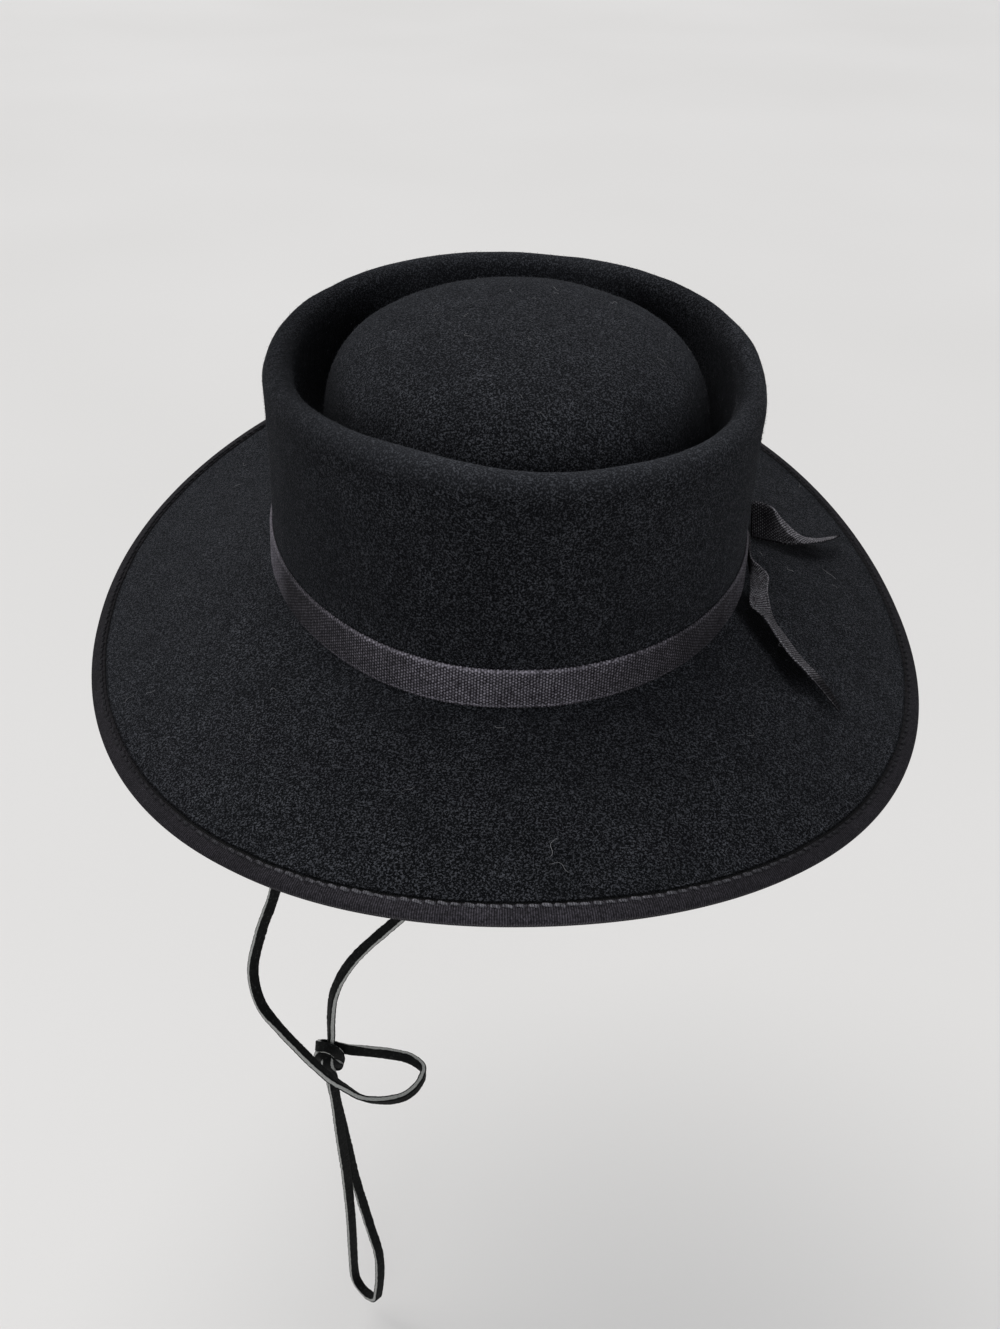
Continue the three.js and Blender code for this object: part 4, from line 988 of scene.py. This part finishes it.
for w, h, c, step in ((0.80, 0.72, 1, 1.2), (1.4, 0.95, 1, 1.2), (wide - 2.0, 0.82, 1, 3.6), (wide - 1.1, 0.58, 1, 1.2), (wide, 0.10, 0, 2.4)):
    rows.append(bind_at(w + drift * 0.6 * (w / wide), -FELT - h - rib * c)); v_bind.append(v_bind[-1] + step)
rows.append(bind_at(wide - 0.4, -FELT - 0.02)); v_bind.append(v_bind[-1] + 1)
rows.append(bind_at(1.5, -FELT - 0.02)); v_bind.append(v_bind[-1] + 6)
rows.append(bind_at(1.15, -1.1)); v_bind.append(v_bind[-1] + 1)
rows.append(bind_at(1.5, 0.03)); v_bind.append(v_bind[-1] + 1)
rows.append(bind_at(wide - 0.4, 0.03)); v_bind.append(v_bind[-1] + 6)
binding = hoop("brim_binding", np.array(rows)[::-1], u_bind, np.array(v_bind)[::-1], slot="binding_tape", materials=(BINDING_MAT,), replaces=("brim_binding",))


# stitches along the inner edge of the binding, above and below
def stitches(name, below):
    count = int(round(edge_round / STITCH_PITCH))
    sec, steps = 7, 9
    pos = np.arange(count) / count * edge_round
    out_v, out_q, out_uv = [], [], []
    per_v = sec * (steps + 1)
    jitter = rng.normal(0, 1, (count, 4))
    t = np.linspace(0, 1, steps + 1)
    for i in range(count):
        centre_s = pos[i] + 0.12 * jitter[i, 0]
        half = 1.72 + 0.11 * jitter[i, 1]
        s = centre_s + (t - 0.5) * 2 * half
        inward = wide - 1.45 - (t - 0.5) * (0.55 + 0.20 * jitter[i, 2]) + 0.10 * jitter[i, 3]
        lift = 0.80 + 0.18 * np.sin(np.pi * t) - 0.85 * (np.abs(2 * t - 1)) ** 7
        a = np.interp(s % edge_round, np.append(s_fine, edge_round), np.append(fine, 2 * math.pi))
        w = wave(BRIM_WIDTH, a)
        if below:
            c = brim_point(a, 1 - inward / w, -FELT - lift)
        else:
            c = brim_point(a, 1 - inward / w, lift)
        tan = unit(np.gradient(c, axis=0))
        up = unit(brim_point(a, 1 - inward / w, 5.0) - brim_point(a, 1 - inward / w, 0.0))
        sd = unit(np.cross(tan, up))
        up = np.cross(sd, tan)
        rad = (0.49 + 0.04 * jitter[i, 0]) * np.sqrt(np.clip(1 - np.abs(2 * t - 1) ** 6, 0.05, 1))
        for j in range(steps + 1):
            ang = np.arange(sec) / sec * 2 * math.pi
            out_v.append(c[j] + rad[j] * (np.cos(ang)[:, None] * sd[j] * 1.15 + np.sin(ang)[:, None] * up[j] * 0.85))
        b0 = i * per_v
        q = grid_faces(steps + 1, sec, True, False)[:, ::-1] + b0
        out_q.append(q)
        jj, ii = np.meshgrid(np.arange(steps), np.arange(sec), indexing="ij")
        uu = t * 2 * half
        out_uv.append(np.stack([np.stack([uu[jj + 1], ii / sec], -1), np.stack([uu[jj + 1], (ii + 1) / sec], -1),
                                np.stack([uu[jj], (ii + 1) / sec], -1), np.stack([uu[jj], ii / sec], -1)], 2).reshape(-1, 2))
    v = np.concatenate(out_v)
    # close both ends
    tr = []
    for i in range(count):
        b0 = i * per_v
        for k_ in range(1, sec - 1):
            tr.append((b0, b0 + k_, b0 + k_ + 1))
            e = b0 + steps * sec
            tr.append((e, e + k_ + 1, e + k_))
    tr = np.array(tr)
    return make(name, v, quads=np.concatenate(out_q), tris=tr, uv=np.vstack([np.concatenate(out_uv), np.zeros((len(tr) * 3, 2))]),
                slot="binding_tape", materials=(THREAD_MAT,))


stitches("binding_stitches", False)
stitches("binding_stitches_under", True)


# ------------------------------------------------------------------ join and free ends of the band
def tape(name, rows, thick, replaces, material):
    near = evenly([r[0] for r in rows], 0.25)[0]
    far = evenly([r[1] for r in rows], 0.25)[0]
    mid, s = evenly([tuple((np.array(r[0]) + np.array(r[1])) / 2) for r in rows], 0.25)
    k = len(mid)
    f = np.linspace(0, 1, k)
    near = np.stack([np.interp(f, np.linspace(0, 1, len(near)), near[:, c]) for c in range(3)], 1)
    far = np.stack([np.interp(f, np.linspace(0, 1, len(far)), far[:, c]) for c in range(3)], 1)
    tan = unit(np.gradient((near + far) / 2, axis=0))
    across = unit(far - near)
    up = unit(np.cross(tan, across))
    rib_ = 0.5 + 0.5 * np.cos(2 * math.pi * s / BAND_RIB)
    cols = 16
    outline, v = [], []
    w = np.linspace(0, 1, cols)
    for x in w:
        edge = 1 - max(0, (abs(x - 0.5) - 0.44) / 0.06) ** 2 * 0.6
        p = near + (far - near) * x + up * ((thick / 2 * edge + 0.10 * rib_ * edge))[:, None]
        outline.append(p); v.append(x * 14.3)
    outline.append(far + across * (0.10 + 0.08 * rib_)[:, None] + up * 0.0); v.append(14.8)
    for x in w[::-1]:
        edge = 1 - max(0, (abs(x - 0.5) - 0.44) / 0.06) ** 2 * 0.6
        p = near + (far - near) * x - up * ((thick / 2 * edge + 0.06 * rib_ * edge))[:, None]
        outline.append(p); v.append(15.2 + (1 - x) * 14.3)
    outline.append(near - across * (0.10 + 0.08 * rib_)[:, None]); v.append(30.0)
    rings = np.array(outline).transpose(1, 0, 2)
    return strip(name, rings, s, np.array(v), slot="band_tape", materials=(material,), replaces=replaces)


upper_end = tape("band_tail_upper", TAIL_UPPER, 0.62, ("band_tail_upper",), UPPER_MAT)
lower_end = tape("band_tail_lower", TAIL_LOWER, 0.62, ("band_tail_lower",), LOWER_MAT)

# the join: a flat knot of the same tape, standing on the band
a0 = np.array([math.radians(2.5)])
p0, n0 = base_point(a0)[0], outward(base_point, a0)[0]
side0 = np.array([-n0[1], n0[0], 0.0])
zmid = p0[2] + (3.6 + 18.2) / 2 - 2.2


def pad_at(x, y, out):
    return p0 + n0 * out + side0 * x + np.array([0, 0, zmid - p0[2] + y])


steps = 60
rows = []
half_w, half_h = 6.0, 6.9
join_rows = []
for i in range(steps + 1):
    f = i / steps
    x = -half_w + 2 * half_w * f
    bulge = 1.2 + 2.3 * math.sin(math.pi * min(1, max(0, f))) ** 0.6
    pinch = 1 - 0.16 * math.sin(math.pi * f)
    rib_ = 0.5 + 0.5 * math.cos(2 * math.pi * x / BAND_RIB)
    ring = []
    for t_ in np.linspace(0, 2 * math.pi, 40, endpoint=False):
        c_, s_ = math.cos(t_), math.sin(t_)
        y = half_h * pinch * math.copysign(abs(c_) ** 0.45, c_)
        o_ = 0.9 + (bulge if s_ > 0 else 0.1) * math.copysign(abs(s_) ** 0.6, s_) * 0.95 + 0.1 * rib_ * max(0, s_)
        o_ += 0.28 * math.sin(y * 0.9 + x * 0.35) * max(0, s_)
        ring.append(pad_at(x, y, o_))
    join_rows.append(ring)
join_rows = np.array(join_rows)
strip("band_join", join_rows, np.linspace(0, 12, steps + 1), np.linspace(0, 30, 40, endpoint=False), slot="band_tape",
      materials=(BAND_MAT,), replaces=("band_join",))

# ------------------------------------------------------------------ sweatband
a_sw = np.linspace(0, 2 * math.pi, 320, endpoint=False)
n_s = outward(base_point, a_sw)
height = rim_point(a_sw)[:, 2] - base_point(a_sw)[:, 2]


def sweat_at(z, gap, turn_=0.0):
    f = np.maximum(0, z) / height
    p = wall_point(a_sw, f) - n_s * (FELT + gap)
    p[:, 2] = base_point(a_sw)[:, 2] + z
    return p


rows = []
levels = np.concatenate([[-0.5, -0.1, 0.6], np.linspace(2, 33, 14), [33.7, 34.0]])
ease = lambda z: 4.5 + (0.5 - 4.5) * min(1, max(0, (z + 0.5) / 34.5)) ** 0.8
for z in levels:
    rows.append(sweat_at(z, ease(z)))
for z in levels[::-1]:
    inset = 1.2 if 0.2 < z < 33.5 else 0.9
    rows.append(sweat_at(z, ease(z) + inset))
u_sw, sw_round = along(base_point(a_sw))
v_sw = np.arange(len(rows)) * 2.0
hoop("sweatband", np.array(rows), u_sw, v_sw, slot="sweatband_leather", materials=(SWEAT_MAT,), replaces=("sweatband",))

# ------------------------------------------------------------------ floor, light
FLOOR_Z = -0.432
me = bpy.data.meshes.new("floor")
h = 6.0
me.from_pydata([(-h, -h, FLOOR_Z), (h, -h, FLOOR_Z), (h, h, FLOOR_Z), (-h, h, FLOOR_Z)], [], [(0, 1, 2, 3)])
floor = bpy.data.objects.new("floor", me)
bpy.context.scene.collection.objects.link(floor)
me.materials.append(floor_material())

world = bpy.data.worlds.new("studio")
bpy.context.scene.world = world
world.use_nodes = True
world.node_tree.nodes["Background"].inputs[0].default_value = (0.93, 0.95, 1.0, 1.0)
world.node_tree.nodes["Background"].inputs[1].default_value = 0.46


def area(name, where, at, size, power, colour=(1, 1, 1)):
    d = bpy.data.lights.new(name, "AREA")
    d.shape, d.size, d.energy, d.color = "DISK", size, power, colour
    o = bpy.data.objects.new(name, d)
    bpy.context.scene.collection.objects.link(o)
    o.location = where
    o.rotation_mode = "QUATERNION"
    o.rotation_quaternion = (Vector(at) - Vector(where)).to_track_quat("-Z", "Y")
    return o


sun_data = bpy.data.lights.new("window", "SUN")
sun_data.energy, sun_data.angle, sun_data.color = 2.25, math.radians(60), (1.0, 0.99, 0.97)
sun = bpy.data.objects.new("window", sun_data)
bpy.context.scene.collection.objects.link(sun)
sun.rotation_mode = "QUATERNION"
sun.rotation_quaternion = Vector((0.24, -0.47, -0.85)).to_track_quat("-Z", "Y")
area("front", (-0.25, -1.6, 0.75), (0, 0, 0.0), 1.2, 7.0, (0.97, 0.98, 1.0))

scene = bpy.context.scene
scene.view_settings.view_transform = "Standard"
scene.view_settings.look = "None"
scene.view_settings.exposure = 0.0
